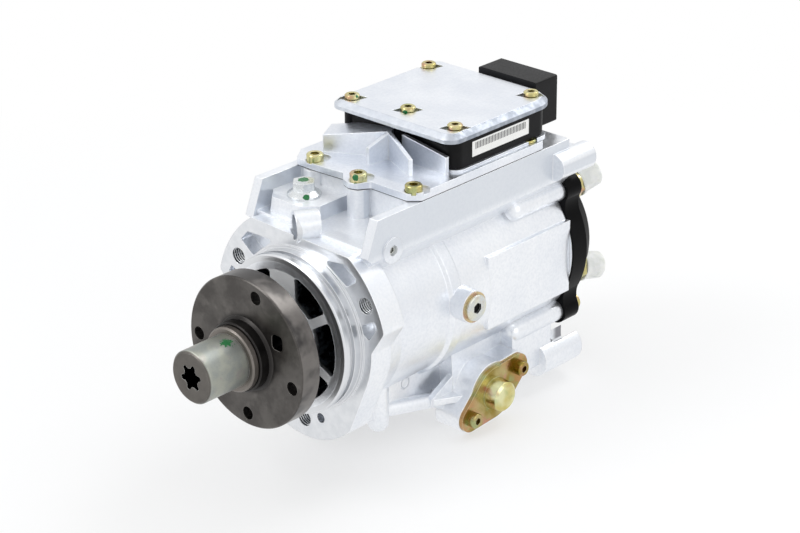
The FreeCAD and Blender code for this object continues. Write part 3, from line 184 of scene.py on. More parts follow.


# the edge mask lightens edges in the finishes below: partly wear, partly painted highlight
def worn_and_highlit_edge(tree, radius_mm):
    """A normal that rounds the edges, and a mask that is 1 along them."""
    rounded = add(tree, ("ShaderNodeBevel", {"samples": 8}), Radius=radius_mm * MM)
    plain = add(tree, "ShaderNodeNewGeometry").outputs["Normal"]
    return rounded, add(tree, MASK, add(tree, LIKENESS, rounded, plain), 0.80, 0.97, *FALLING)


# the recess mask darkens sockets and corners in the finishes below: painted shade
def recess(tree, reach_mm):
    """1 deep in a socket or a hole, 0 in the open."""
    near = ("ShaderNodeAmbientOcclusion", {"samples": 8, "only_local": True})
    open_sky = add(tree, near, Distance=reach_mm * MM).outputs["AO"]
    return add(tree, MASK, open_sky, 0.25, 0.70, *FALLING)


# %% [markdown]
# The housing is die cast aluminium, blasted with fine shot. That makes it bright, a little blue and
# soft in its reflections, with a grain you feel more than see and a slow waviness from the die. The
# faces that seal or locate are turned or milled after casting, so they are smoother and darker. The
# material finds them by their place: the flange's front face lies at Y = 0, the register is a
# cylinder round the shaft, and the open windows behind it are painted dark as shade. Each place
# is a pair of values, where its mask begins and where it is full.

# %% Places on the housing
BOLT_CIRCLE = 58.0
flange_holes = []
for degrees in (30, 150, -90):
    angle = math.radians(degrees)
    flange_holes.append((BOLT_CIRCLE * math.cos(angle), BOLT_CIRCLE * math.sin(angle)))
RIGHTWARD, FORWARD = (0.90, 0.97), (-0.97, -0.90)
ROOF_WALL_LOW = (50.0 * MM, 56.0 * MM)
DECK_LOW, DECK_FRONT, DECK_REAR = (39.5 * MM, 40.5 * MM), (16.8 * MM, 17.8 * MM), (95.0 * MM, 100.0 * MM)
FACE_FRONT, FACE_BACK, FACE_INNER = (-0.6 * MM, -0.2 * MM), (0.2 * MM, 0.6 * MM), (48.5 * MM, 49.5 * MM)
REGISTER_BACK, REGISTER_INNER = (-0.2 * MM, 0.1 * MM), (43.5 * MM, 44.0 * MM)
WINDOW_OUTER, WINDOW_MOUTH, WEB_BACK = (38.8 * MM, 39.3 * MM), (-13.0 * MM, -10.0 * MM), (0.0, 2.0 * MM)
HOOK_FRONT, HOOK_TOP, HOOK_RIGHT = (183.0 * MM, 188.0 * MM), (-58.0 * MM, -56.0 * MM), (33.5 * MM, 34.5 * MM)
BORE_WALL, BORE_FRONT, BORE_BACK = (5.1 * MM, 5.3 * MM), (0.3 * MM, 0.8 * MM), (15.8 * MM, 16.4 * MM)
PIN_MARK = (25.0 * MM, 57.8 * MM, -49.0 * MM)
PIN_MARK_RISES, PIN_MARK_FALLS = (2.6 * MM, 3.1 * MM), (3.5 * MM, 4.0 * MM)
TURNING_FEED = 1.1 * MM
print("the flange's holes stand at", [(round(x, 1), round(z, 1)) for x, z in flange_holes])


# %% Cast aluminium of the housing
def cast_aluminium():
    made, tree, where = start_material("cast_aluminium")
    x, y, z = add(tree, SPLIT, where).outputs
    nx, ny, _ = add(tree, SPLIT, add(tree, "ShaderNodeNewGeometry").outputs["Normal"]).outputs
    from_axis = off_axis(tree, x, z)
    rounded, edge = worn_and_highlit_edge(tree, 0.7)
    forward = add(tree, MASK, ny, *FORWARD, *FALLING)
    rightward = add(tree, MASK, nx, *RIGHTWARD)
    cloud = add(tree, NOISE, where, size(34.0), 2.0, 0.55)
    skin = add(tree, NOISE, where, size(1.8), 3.0, 0.6)
    streak = add(tree, NOISE, where, size(6.0), 3.0, 0.55)
    colour = add(tree, BLEND, add(tree, MASK, cloud, 0.30, 0.70), "#EDF0F5", "#F5F7FA")
    colour = add(tree, BLEND, add(tree, MASK, skin, 0.30, 0.74, 0.0, 0.25), colour, "#CBD1DA")
    # painted shade: the corners a little darker
    corner = recess(tree, 3.0)
    colour = add(tree, BLEND, add(tree, TIMES, corner, 0.15), colour, "#98A1AE")
    # the roof's side walls, which face right, painted greyer as shade
    shaded_side_wall = add(tree, TIMES, rightward, add(tree, MASK, z, *ROOF_WALL_LOW))
    colour = add(tree, BLEND, add(tree, TIMES, shaded_side_wall, 0.75), colour, "#D3D8DF")
    # the deck between the roof's walls, cast rough, so that it mirrors little of what stands round it
    deck = add(tree, TIMES, add(tree, MASK, z, *DECK_LOW), add(tree, MASK, y, *DECK_FRONT))
    deck = add(tree, TIMES, deck, add(tree, MASK, y, *DECK_REAR, *FALLING))
    deck = add(tree, TIMES, deck, add(tree, MASK, nx, *RIGHTWARD, *FALLING))
    # the flange's face, milled flat
    flange = add(tree, TIMES, forward, add(tree, MASK, y, *FACE_FRONT))
    flange = add(tree, TIMES, flange, add(tree, MASK, y, *FACE_BACK, *FALLING))
    flange = add(tree, TIMES, flange, add(tree, MASK, from_axis, *FACE_INNER))
    milled = add(tree, BLEND, add(tree, MASK, streak, 0.3, 0.7), "#DADDE1", "#E8EAED")
    colour = add(tree, BLEND, flange, colour, milled)
    # the register, turned
    register = add(tree, TIMES, add(tree, MASK, y, *REGISTER_BACK, *FALLING),
                   add(tree, MASK, from_axis, *REGISTER_INNER))
    colour = add(tree, BLEND, register, colour, "#DEE0E3")
    # edges lighter: partly wear, partly painted highlight
    colour = add(tree, BLEND, add(tree, TIMES, edge, 0.6), colour, "#FBFCFD")
    # the windows behind the hub, deep, painted dark and streaked as shade, between webs that stay bright and
    # dull
    within = add(tree, MASK, from_axis, *WINDOW_OUTER, *FALLING)
    webs = add(tree, TIMES, add(tree, TIMES, within, forward), add(tree, MASK, y, *WEB_BACK, *FALLING))
    colour = add(tree, BLEND, webs, colour, "#F4F6F8")
    inside = add(tree, TIMES, within, add(tree, MASK, y, *WINDOW_MOUTH))
    painted_window_shade = add(tree, BLEND, add(tree, MASK, streak, 0.46, 0.66), "#101214", "#77828C")
    colour = add(tree, BLEND, inside, colour, painted_window_shade)
    # the flank behind the hook, painted darker as shade
    shaded_flank = add(tree, TIMES, rightward, add(tree, MASK, z, *HOOK_TOP, *FALLING))
    behind = add(tree, TIMES, add(tree, MASK, y, *HOOK_FRONT), add(tree, MASK, x, *HOOK_RIGHT, *FALLING))
    shaded_flank = add(tree, TIMES, shaded_flank, behind)
    colour = add(tree, BLEND, add(tree, TIMES, shaded_flank, 0.8), colour, "#5E5C63")
    # the wall between the ridges of the threads, painted dark as shade in the holes
    for hole_x, hole_z in flange_holes:
        off = off_axis(tree, add(tree, MINUS, x, hole_x * MM), add(tree, MINUS, z, hole_z * MM))
        shaded_bore = add(tree, TIMES, add(tree, MASK, off, *BORE_WALL, *FALLING), add(tree, MASK, y, *BORE_FRONT))
        shaded_bore = add(tree, TIMES, shaded_bore, add(tree, MASK, y, *BORE_BACK, *FALLING))
        colour = add(tree, BLEND, shaded_bore, colour, "#33373D")
    # cut faces are smooth but for turned rings, while the skin is grainy, and dull where it is deep
    cut_face = add(tree, LARGER, flange, register)
    rough = add(tree, BLEND_VALUE, cut_face, add(tree, MASK, skin, 0.3, 0.7, 0.28, 0.42), 0.28)
    dull = add(tree, LARGER, webs, add(tree, TIMES, corner, 0.85))
    dull = add(tree, LARGER, dull, add(tree, TIMES, deck, 0.75))
    metal = add(tree, BLEND_VALUE, dull, 0.95, 0.25)
    rings = add(tree, SINE, add(tree, TIMES, from_axis, 2 * math.pi / TURNING_FEED))
    relief = add(tree, BLEND_VALUE, cut_face, skin, rings)
    depth = add(tree, BLEND_VALUE, cut_face, 0.08 * MM, 0.008 * MM)
    wave = add(tree, NOISE, where, size(12.0), 1.0, 0.55)
    slow = add(tree, BUMP, Height=wave, Distance=0.20 * MM, Strength=0.5, Normal=rounded)
    fine = add(tree, BUMP, Height=relief, Distance=depth, Strength=0.8, Normal=slow)
    # the round mark that a core pin left low on the right side
    off = add(tree, DISTANCE, where, PIN_MARK)
    ridge = add(tree, TIMES, add(tree, MASK, off, *PIN_MARK_RISES),
                add(tree, MASK, off, *PIN_MARK_FALLS, *FALLING))
    fine = add(tree, BUMP, Height=ridge, Distance=0.5 * MM, Strength=1.0, Normal=fine)
    finish_material(tree, Base_Color=colour, Metallic=metal, Roughness=rough, Normal=fine)
    return made


# %% [markdown]
# The control unit's cast base and lid come from other dies. They have a finer and flatter skin than
# the housing. The lid is a flat plate with a rounded flank, and the flank is painted greyer than the
# top as shade, a little streaked and greyest on the right. Its right side is also rougher.

# %% Places on the control unit
LID_LOW = (95.6 * MM, 96.1 * MM)
FLANK_UPWARD, FLANK_RIGHTWARD = (0.70, 0.97), (0.15, 0.45)
CASTING_PAINT = [((1.4, 85.4, 104.4), 1.5, 1.2, 1.2), ((8.6, 36.6, 79.8), 1.8, 1.4, 1.2)]
print("the lid begins", round(LID_LOW[0] / MM, 1), "mm above the shaft")


# %% Cast aluminium of the control unit
def fine_cast_aluminium():
    made, tree, where = start_material("fine_cast_aluminium")
    z = add(tree, SPLIT, where).outputs["Z"]
    nx, _, nz = add(tree, SPLIT, add(tree, "ShaderNodeNewGeometry").outputs["Normal"]).outputs
    rounded, edge = worn_and_highlit_edge(tree, 0.6)
    cloud = add(tree, NOISE, where, size(26.0), 3.0, 0.55)
    skin = add(tree, NOISE, where, size(1.6), 3.0, 0.6)
    colour = add(tree, BLEND, add(tree, MASK, cloud, 0.32, 0.70), "#E6EAF1", "#F1F4F9")
    colour = add(tree, BLEND, add(tree, MASK, skin, 0.30, 0.74, 0.0, 0.25), colour, "#C8CED8")
    # painted shade: the corners a little darker
    corner = recess(tree, 3.0)
    colour = add(tree, BLEND, add(tree, TIMES, corner, 0.10), colour, "#A3AAB6")
    # the lid's rounded flank, painted greyer than its flat top as shade, most of all on the right
    shaded_flank = add(tree, TIMES, add(tree, MASK, nz, *FLANK_UPWARD, *FALLING), add(tree, MASK, z, *LID_LOW))
    streak = add(tree, NOISE, where, size(5.0), 3.0, 0.55)
    shaded_flank = add(tree, TIMES, shaded_flank, add(tree, MASK, streak, 0.35, 0.65, 0.55, 0.90))
    shaded_right_flank = add(tree, TIMES, shaded_flank, add(tree, MASK, nx, *FLANK_RIGHTWARD))
    # edges lighter: partly wear, partly painted highlight
    colour = add(tree, BLEND, add(tree, TIMES, edge, 0.4), colour, "#FBFCFD")
    # painted shade on the flank, darker on its right side
    colour = add(tree, BLEND, shaded_flank, colour, "#C6CCD5")
    colour = add(tree, BLEND, shaded_right_flank, colour, "#9299A4")
    # two drops of green marking paint, run down from the screws in the middle of the lid and of the base
    for point, radius, ragged, blob in CASTING_PAINT:
        colour = add(tree, BLEND, close_to(tree, where, point, radius, ragged, blob), colour, "#0F6B35")
    wave = add(tree, NOISE, where, size(15.0), 1.0, 0.55)
    slow = add(tree, BUMP, Height=wave, Distance=0.16 * MM, Strength=0.4, Normal=rounded)
    fine = add(tree, BUMP, Height=skin, Distance=0.04 * MM, Strength=0.8, Normal=slow)
    metal = add(tree, TIMES_PLUS, corner, -0.85, 0.95)
    rough = add(tree, BLEND_VALUE, shaded_right_flank, add(tree, MASK, skin, 0.3, 0.7, 0.28, 0.42), 0.60)
    finish_material(tree, Base_Color=colour, Metallic=metal, Roughness=rough, Normal=fine)
    return made


# %% [markdown]
# The drive hub is forged steel, turned and then burnished dark. Oil and handling leave it brown in
# places and nearly black near the boss, and fine turning rings run round it. The rings are a sine of
# the distance from the shaft, drawn 0.9 mm apart so that they still show in the picture.

# %% Places on the hub
BOSS, RIM = (20.5 * MM, 25.0 * MM), (44.6 * MM, 44.9 * MM)
HUB_RING = 0.9 * MM
SLOT_POINT, SLOT_RADIUS, SLOT_BACK = (25.6, -37.0, 14.5), 8.4, (-43.8 * MM, -43.4 * MM)
print("the hub's rings are", round(HUB_RING / MM, 2), "mm apart")


# %% Burnished steel of the hub
def burnished_steel():
    made, tree, where = start_material("burnished_steel")
    x, y, z = add(tree, SPLIT, where).outputs
    from_axis = off_axis(tree, x, z)
    rounded, edge = worn_and_highlit_edge(tree, 0.6)
    stain = add(tree, NOISE, where, size(16.0), 4.0, 0.6)
    speck = add(tree, NOISE, where, size(1.6), 3.0, 0.55)
    wiped = add(tree, NOISE, where, size(9.0), 3.0, 0.55)
    colour = add(tree, BLEND, add(tree, MASK, stain, 0.34, 0.68), "#4A4745", "#625F5C")
    colour = add(tree, BLEND, add(tree, MASK, wiped, 0.56, 0.74, 0.0, 0.30), colour, "#7E7A76")
    colour = add(tree, BLEND, add(tree, MASK, from_axis, *BOSS, 0.85, 0.0), colour, "#191819")
    # the rim, blotched where it was hardened and wiped
    rim = add(tree, MASK, from_axis, *RIM)
    blotch = add(tree, MASK, add(tree, NOISE, where, size(19.0), 3.0, 0.5), 0.42, 0.60)
    blotch = add(tree, BLEND, blotch, "#303033", "#8B8784")
    colour = add(tree, BLEND, add(tree, TIMES, rim, 0.45), colour, blotch)
    # edges lighter: partly wear, partly painted highlight
    colour = add(tree, BLEND, add(tree, TIMES, edge, 0.6), colour, "#8C8985")
    # painted shade, near black, in the hub's holes
    colour = add(tree, BLEND, recess(tree, 7.0), colour, "#0B0A0A")
    # the slot behind the hub's face, painted near black as shade
    slot = close_to(tree, where, SLOT_POINT, SLOT_RADIUS, 0.0, 1.0)
    slot = add(tree, TIMES, slot, add(tree, MASK, y, *SLOT_BACK))
    colour = add(tree, BLEND, slot, colour, "#0B0A0A")
    rings = add(tree, SINE, add(tree, TIMES, from_axis, 2 * math.pi / HUB_RING))
    height = add(tree, TIMES_PLUS, rings, 0.22, speck)
    fine = add(tree, BUMP, Height=height, Distance=0.02 * MM, Strength=0.7, Normal=rounded)
    finish_material(tree, Base_Color=colour, Metallic=0.9, Normal=fine,
                    Roughness=add(tree, MASK, stain, 0.3, 0.7, 0.28, 0.42))
    return made


# %% [markdown]
# The nut is steel with a pale zinc plate, which scatters light a little and shows thin yellow and
# blue veils where the film is thicker. Its front face was turned after plating and is browner. A
# ragged splash of green paint, put on when the nut was tightened, sits at the root of the nut. The
# plugs have the same plate, fresher and brighter.

# %% Places on the nut and the plugs
NUT_FACE = (-84.2 * MM, -83.6 * MM)
NUT_WELL_DEEP, NUT_WELL_WIDE = (-84.6 * MM, -84.2 * MM), (8.4 * MM, 8.6 * MM)
COLLAR_FRONT, COLLAR_BACK = (-56.4 * MM, -56.0 * MM), (-50.0 * MM, -49.0 * MM)
NUT_PAINT = [((5.2, -62.4, 14.8), 7.8, 10.0, 1.1)]
PLUG_HOLLOWS = [((61.0, 76.8, 5.0), 3.7)]
PLUG_PAINT = [((-24.6, 28.4, 74.6), 4.2, 2.4, 2.0), ((-16.3, 22.2, 68.0), 2.4, 1.4, 1.4)]
print(len(NUT_PAINT + PLUG_PAINT), "blots of paint on the nut and the plugs")


# %% Pale zinc of the nut and the plugs
def pale_zinc(name, light, dark, veil_tone, rough, paint_at=(), hollow_at=()):
    made, tree, where = start_material(name)
    x, y, z = add(tree, SPLIT, where).outputs
    rounded, edge = worn_and_highlit_edge(tree, 0.4)
    veil = add(tree, NOISE, where, size(9.0), 2.0, 0.55)
    film = add(tree, NOISE, where, size(6.0), 2.0, 0.55)
    fine = add(tree, NOISE, where, size(0.8), 4.0, 0.6)
    colour = add(tree, BLEND, add(tree, MASK, veil, 0.36, 0.66), light, dark)
    colour = add(tree, BLEND, add(tree, MASK, film, 0.58, 0.72, 0.0, 0.5), colour, veil_tone)
    colour = add(tree, BLEND, add(tree, MASK, fine, 0.55, 0.75, 0.0, 0.35), colour, "#8F9391")
    # the nut's front face, turned bare after plating
    face = add(tree, MASK, y, *NUT_FACE, *FALLING)
    colour = add(tree, BLEND, face, colour, add(tree, BLEND, veil, "#55524F", "#76726D"))
    # its collar, rubbed dark against the hub
    collar = add(tree, TIMES, add(tree, MASK, y, *COLLAR_FRONT), add(tree, MASK, y, *COLLAR_BACK, *FALLING))
    colour = add(tree, BLEND, collar, colour, add(tree, BLEND, veil, "#6E6965", "#8A847E"))
    # edges lighter: partly wear, partly painted highlight
    colour = add(tree, BLEND, add(tree, TIMES, edge, 0.6), colour, "#E3E5E3")
    # painted shade, near black, in sockets and hollows
    colour = add(tree, BLEND, recess(tree, 5.0), colour, "#0D0C0C")
    # the star socket in the nut's front, painted near black as shade
    well = add(tree, MASK, off_axis(tree, x, z), *NUT_WELL_WIDE, *FALLING)
    well = add(tree, TIMES, well, add(tree, MASK, y, *NUT_WELL_DEEP))
    colour = add(tree, BLEND, well, colour, "#0A0909")
    # the plug's socket, painted near black as shade
    for point, radius in hollow_at:
        colour = add(tree, BLEND, close_to(tree, where, point, radius, 0.0, 1.0), colour, "#0D0C0C")
    paint = 0.0
    for point, radius, ragged, blob in paint_at:
        blot = close_to(tree, where, point, radius, ragged, blob)
        paint = blot if paint == 0.0 else add(tree, LARGER, paint, blot)
    colour = add(tree, BLEND, paint, colour, "#0C6A33")
    metal = add(tree, MINUS, 1.0, paint)
    bumpy = add(tree, BUMP, Height=fine, Distance=0.02 * MM, Strength=0.6, Normal=rounded)
    finish_material(tree, Base_Color=colour, Metallic=metal, Normal=bumpy,
                    Roughness=add(tree, MASK, fine, 0.3, 0.7, rough - 0.06, rough + 0.08))
    return made


# %% [markdown]
# Covers and screws carry a yellow passivated zinc plate. The film is a fraction of a micron thick,
# so it plays from straw to pink and green as its thickness changes. Two slow noises stand for that:
# one moves between straw and brown gold, the other lets pink and green through in places. On the
# timing cover the film is browner on the flat plate than on the round cap.

# %% Places on the timing cover and the screws
CAP_Y, CAP_Z, CAP_RADIUS = 108.5 * MM, -66.0 * MM, (10.0 * MM, 10.4 * MM)
FAR_SIDE, PLATE_FACE, TIPS = (0.0, 1.0 * MM), (51.1 * MM, 51.3 * MM), (12.0 * MM, 22.0 * MM)
SCREW_PAINT = [
    ((8.2, 37.2, 82.0), 2.4, 1.4, 1.2),
    ((-0.2, 87.0, 104.4), 2.0, 1.2, 1.2),
    ((-35.3, 84.0, 106.6), 1.3, 1.0, 1.0),
]
print(len(SCREW_PAINT), "blots of paint on the screws")


# %% Yellow zinc of covers and screws
def yellow_zinc(name, straw, gold, paint_at=(), has_cap=False):
    made, tree, where = start_material(name)
    rounded, edge = worn_and_highlit_edge(tree, 0.4)
    film = add(tree, NOISE, where, size(17.0), 2.0, 0.55)
    other = add(tree, NOISE, where, size(12.0), 2.0, 0.55)
    fine = add(tree, NOISE, where, size(0.7), 4.0, 0.6)
    colour = add(tree, BLEND, add(tree, MASK, film, 0.36, 0.66), straw, gold)
    if has_cap:
        # the cover's plate: the film is thicker and browner than on the cap, and rosy towards its tips
        x, y, z = add(tree, SPLIT, where).outputs
        away = off_axis(tree, add(tree, MINUS, y, CAP_Y), add(tree, MINUS, z, CAP_Z))
        plate = add(tree, LARGER, add(tree, MASK, away, *CAP_RADIUS), add(tree, MASK, x, *FAR_SIDE, *FALLING))
        brown = add(tree, BLEND, add(tree, MASK, film, 0.38, 0.62), "#B4A672", "#94803A")
        colour = add(tree, BLEND, plate, colour, brown)
        rosy = add(tree, MASK, add(tree, NOISE, where, size(7.0), 2.0, 0.55), 0.44, 0.58)
        rosy = add(tree, TIMES, add(tree, MASK, away, *TIPS), rosy)
        rosy = add(tree, TIMES, rosy, add(tree, MASK, x, *PLATE_FACE, *FALLING))
        colour = add(tree, BLEND, add(tree, TIMES, rosy, 0.6), colour, "#C08C66")
    colour = add(tree, BLEND, add(tree, MASK, other, 0.54, 0.70, 0.0, 0.7), colour, "#C48C7E")
    colour = add(tree, BLEND, add(tree, MASK, other, 0.30, 0.46, 0.5, 0.0), colour, "#93AC7C")
    colour = add(tree, BLEND, add(tree, MASK, fine, 0.60, 0.78, 0.0, 0.15), colour, "#8F8250")
    # edges lighter: partly wear, partly painted highlight
    colour = add(tree, BLEND, add(tree, TIMES, edge, 0.6), colour, "#DEDCB8")
    # painted shade in corners, such as the dark ring round the cap
    colour = add(tree, BLEND, add(tree, TIMES, recess(tree, 2.2), 0.9), colour, "#2A2214")
    metal = 1.0
    for point, radius, ragged, blob in paint_at:
        paint = close_to(tree, where, point, radius, ragged, blob)
        colour = add(tree, BLEND, paint, colour, "#0F6B35")
        metal = add(tree, TIMES, metal, add(tree, MINUS, 1.0, paint))
    bumpy = add(tree, BUMP, Height=fine, Distance=0.012 * MM, Strength=0.6, Normal=rounded)
    finish_material(tree, Base_Color=colour, Metallic=metal, Normal=bumpy,
                    Roughness=add(tree, MASK, fine, 0.3, 0.7, 0.16, 0.28))
    return made


# %% [markdown]
# The parts inside are steel, ground or turned bright. Nobody sees them in the closed pump, but they
# are finished too: a bright grey metal with faint scratches along its length, made from a noise that
# is stretched ten times along Y.

# %% Bright and hardened steel inside
ALONG_THE_SHAFT = (1.0, 0.1, 1.0)


def ground_steel(name, light, dark, rough):
    made, tree, where = start_material(name)
    stretched = add(tree, "ShaderNodeMapping", Vector=where, Scale=ALONG_THE_SHAFT)
    scratch = add(tree, NOISE, stretched, size(0.8), 3.0, 0.6)
    cloud = add(tree, NOISE, where, size(8.0), 3.0, 0.55)
    colour = add(tree, BLEND, add(tree, MASK, cloud, 0.35, 0.68), light, dark)
    finish_material(tree, Base_Color=colour, Metallic=1.0,
                    Roughness=add(tree, MASK, scratch, 0.3, 0.7, rough - 0.06, rough + 0.08),
                    Normal=add(tree, BUMP, Height=scratch, Distance=0.008 * MM, Strength=0.6))
    return made


# %% [markdown]
# The black plate at the rear is cast and lacquered, so it is darker than the plastic above it. The
# lacquer's slight orange peel is a bump of two millimetre waves.


# %% Black lacquer of the rear plate
def black_lacquer():
    made, tree, where = start_material("black_lacquer")
    rounded, edge = worn_and_highlit_edge(tree, 0.6)
    peel = add(tree, NOISE, where, size(2.2), 2.0, 0.55)
    dust = add(tree, NOISE, where, size(14.0), 4.0, 0.6)
    colour = add(tree, BLEND, add(tree, MASK, dust, 0.4, 0.7), "#050506", "#0B0B0D")
    # edges lighter: partly wear, partly painted highlight
    colour = add(tree, BLEND, add(tree, TIMES, edge, 0.5), colour, "#1C1C1F")
    bumpy = add(tree, BUMP, Height=peel, Distance=0.03 * MM, Strength=0.6, Normal=rounded)
    finish_material(tree, Base_Color=colour, Metallic=0.0, Specular_IOR_Level=0.06, Normal=bumpy,
                    Roughness=add(tree, MASK, dust, 0.3, 0.7, 0.28, 0.38))
    return made


# %% [markdown]
# The electronics case and the plug housing are glass filled polyamide, moulded in a finely eroded
# tool. That gives a deep black with a soft sheen and a grain of about a third of a millimetre, which
# is drawn at 0.8 mm here so that it shows. The black soaks up most of the light that falls on the
# grain, so its specular level is well below that of a smooth plastic.


# %% Moulded black polyamide
def moulded_black(name, dark, light, rough, shine):
    made, tree, where = start_material(name)
    rounded, edge = worn_and_highlit_edge(tree, 0.5)
    erosion = add(tree, NOISE, where, size(0.8), 3.0, 0.6)
    cloud = add(tree, NOISE, where, size(18.0), 3.0, 0.55)
    colour = add(tree, BLEND, add(tree, MASK, cloud, 0.38, 0.68), dark, light)
    # edges lighter: partly wear, partly painted highlight
    colour = add(tree, BLEND, add(tree, TIMES, edge, 0.5), colour, "#2E2E31")
    bumpy = add(tree, BUMP, Height=erosion, Distance=0.03 * MM, Strength=0.7, Normal=rounded)
    finish_material(tree, Base_Color=colour, Specular_IOR_Level=shine, IOR=1.53, Normal=bumpy,
                    Roughness=add(tree, MASK, erosion, 0.3, 0.7, rough - 0.06, rough + 0.08))
    return made


# %% [markdown]
# The outlets are closed with soft polyethylene caps. They are milky: light goes in a few millimetres
# and comes out again, which subsurface scattering does, and the surface stays waxy.

# %% Milky polyethylene of the caps
SCATTER = (4.0 * MM, 4.0 * MM, 3.5 * MM)


def milky_cap():
    made, tree, where = start_material("milky_polyethylene")
    cloud = add(tree, NOISE, where, size(7.0), 3.0, 0.55)
    wax = add(tree, NOISE, where, size(1.5), 3.0, 0.55)
    colour = add(tree, BLEND, add(tree, MASK, cloud, 0.35, 0.68), "#DDE0DC", "#F1F2EE")
    finish_material(tree, Base_Color=colour, Roughness=add(tree, MASK, cloud, 0.3, 0.7, 0.34, 0.46), IOR=1.51,
                    Subsurface_Weight=0.5, Subsurface_Radius=SCATTER, Subsurface_Scale=1.0,
                    Normal=add(tree, BUMP, Height=wax, Distance=0.03 * MM, Strength=0.5))
    return made


# %% [markdown]
# What is left are small parts of other kinds: black nitrile rubber for seals, sintered bronze for
# bushes, a pressed sheet gasket, a soft brass washer, a green lacquered circuit board and tinned
# pins. One recipe serves them, because each is a colour that wavers between two tones, a roughness
# and a grain of its own size.


# %% Rubber, bronze, brass, board and pins
def plain_finish(name, light, dark, metallic, rough, grain_mm, depth_mm):
    made, tree, where = start_material(name)
    cloud = add(tree, NOISE, where, size(6.0), 3.0, 0.55)
    skin = add(tree, NOISE, where, size(grain_mm), 3.0, 0.6)
    colour = add(tree, BLEND, add(tree, MASK, cloud, 0.36, 0.68), light, dark)
    finish_material(tree, Base_Color=colour, Metallic=metallic,
                    Roughness=add(tree, MASK, skin, 0.3, 0.7, rough - 0.08, rough + 0.08),
                    Normal=add(tree, BUMP, Height=skin, Distance=depth_mm * MM, Strength=0.6))
    return made


# %% [markdown]
# Each node of the frame now gets its finish. A table from finish to nodes is the shortest way to
# write that, and it shows at once which parts are made of the same stuff.

# %% Give every node its finish
spring_steel = ground_steel("spring_steel", "#8E8F93", "#6F7175", 0.32)
finishes = {
    cast_aluminium(): ["pump_housing"],
    fine_cast_aluminium(): ["control_unit_base", "control_unit_cover"],
    burnished_steel(): ["drive_hub"],
    pale_zinc("pale_zinc", "#9A9E9A", "#A8AAA0", "#A2999A", 0.44, NUT_PAINT): ["hub_nut"],
    pale_zinc("pale_zinc_plug", "#D0D3D2", "#DCDAC6", "#C9B9A2", 0.30, (), PLUG_HOLLOWS): [
        "side_plug", "lock_screw"],
    pale_zinc("pale_zinc_marked", "#D2D6D8", "#E2E5E6", "#C8CDCB", 0.30, PLUG_PAINT): ["deck_plug"],
    yellow_zinc("yellow_zinc", "#E3E2B4", "#C9BC72", has_cap=True): [
        "timing_cover", "spring_cover", "timing_screws"],
    yellow_zinc("yellow_zinc_pale", "#D6CF9E", "#BFB272", SCREW_PAINT): [
        "cover_screws", "base_screws", "head_screws", "delivery_fittings", "inlet_fitting",
        "overflow_valve"],
    ground_steel("bright_steel", "#C4C5C7", "#B5B7BA", 0.30): ["drive_shaft", "hub_key", "timing_piston"],
    ground_steel("hardened_steel", "#B3B4B7", "#A3A5A9", 0.26): [
        "supply_pump_ring", "supply_pump_cover", "supply_pump_screws", "supply_pump_rotor",
        "supply_pump_vanes", "increment_wheel", "drive_disc", "distributor_shaft",
        "plunger_right", "plunger_left", "roller_and_shoe_right", "roller_and_shoe_left",
        "cam_ring", "ball_pin", "angle_sensor", "timing_valve_needle", "valve_needle",
        "control_valve_piston", "control_valve_sleeve", "overflow_ball", "distributor_sleeve",
        "delivery_valve_1", "delivery_valve_2", "delivery_valve_3", "delivery_valve_4"],
    spring_steel: ["timing_spring"],
    black_lacquer(): ["distributor_head", "pressure_solenoid", "timing_solenoid"],
    moulded_black("moulded_case", "#0A0A0B", "#131315", 0.42, 0.12): ["control_unit_case"],
    moulded_black("moulded_plug_housing", "#0C0C0E", "#17171A", 0.40, 0.16): ["connector_housing"],
    milky_cap(): ["dust_caps"],
    plain_finish("nitrile_rubber", "#1A1A1B", "#252526", 0.0, 0.62, 0.8, 0.03): ["shaft_seal", "head_seal"],
    plain_finish("sheet_gasket", "#34363A", "#26282B", 0.0, 0.75, 0.7, 0.03): ["control_unit_gasket"],
    plain_finish("sintered_bronze", "#A9793F", "#976B38", 1.0, 0.42, 0.6, 0.02): ["shaft_bushes"],
    plain_finish("brass_washer", "#CDBB90", "#C29A86", 1.0, 0.30, 0.8, 0.01): ["side_plug_washer"],
    plain_finish("green_board", "#16452A", "#0F3520", 0.0, 0.36, 1.2, 0.03): ["circuit_board"],
    plain_finish("tinned_pins", "#BDB9AC", "#A39E8E", 1.0, 0.28, 0.5, 0.01): ["connector_pins"],
}
dressed = set()
for finish, names in finishes.items():
    for name in names:
        nodes[name].data.materials.clear()
        nodes[name].data.materials.append(finish)
        dressed.add(name)
print("nodes without a finish:", sorted(set(nodes) - dressed) or "none")

# %% [markdown]
# The flange's holes carry an M10 thread with a pitch of 1.5 mm. A thread is a ridge that follows a
# helix, so Geometry Nodes make it: a spiral curve, a four sided profile swept along it, and one
# copy in each hole. The tree ends in Realize Instances and Set Material, and the result is then
# turned into a plain mesh.


# %% Geometry Nodes helpers
def new_tree(name, inputs):
    tree = bpy.data.node_groups.new(name, "GeometryNodeTree")
    tree.interface.new_socket("Geometry", in_out="INPUT", socket_type="NodeSocketGeometry")
    for label, kind, value in inputs:
        socket = tree.interface.new_socket(label, in_out="INPUT", socket_type=kind)
        socket.default_value = value
    tree.interface.new_socket("Geometry", in_out="OUTPUT", socket_type="NodeSocketGeometry")
    return tree, tree.nodes.new("NodeGroupInput").outputs, tree.nodes.new("NodeGroupOutput").inputs


def end_tree(tree, shape, places, finish, result, turn=(0, 0, 0)):
    """One copy of a shape at each place, made real and given its finish."""
    copies = add(tree, "GeometryNodeInstanceOnPoints", Points=places, Instance=shape, Rotation=turn)
    real = add(tree, "GeometryNodeRealizeInstances", Geometry=copies)
    coloured = add(tree, "GeometryNodeSetMaterial", Geometry=real, Material=finish)
    tree.links.new(coloured.outputs[0], result[0])


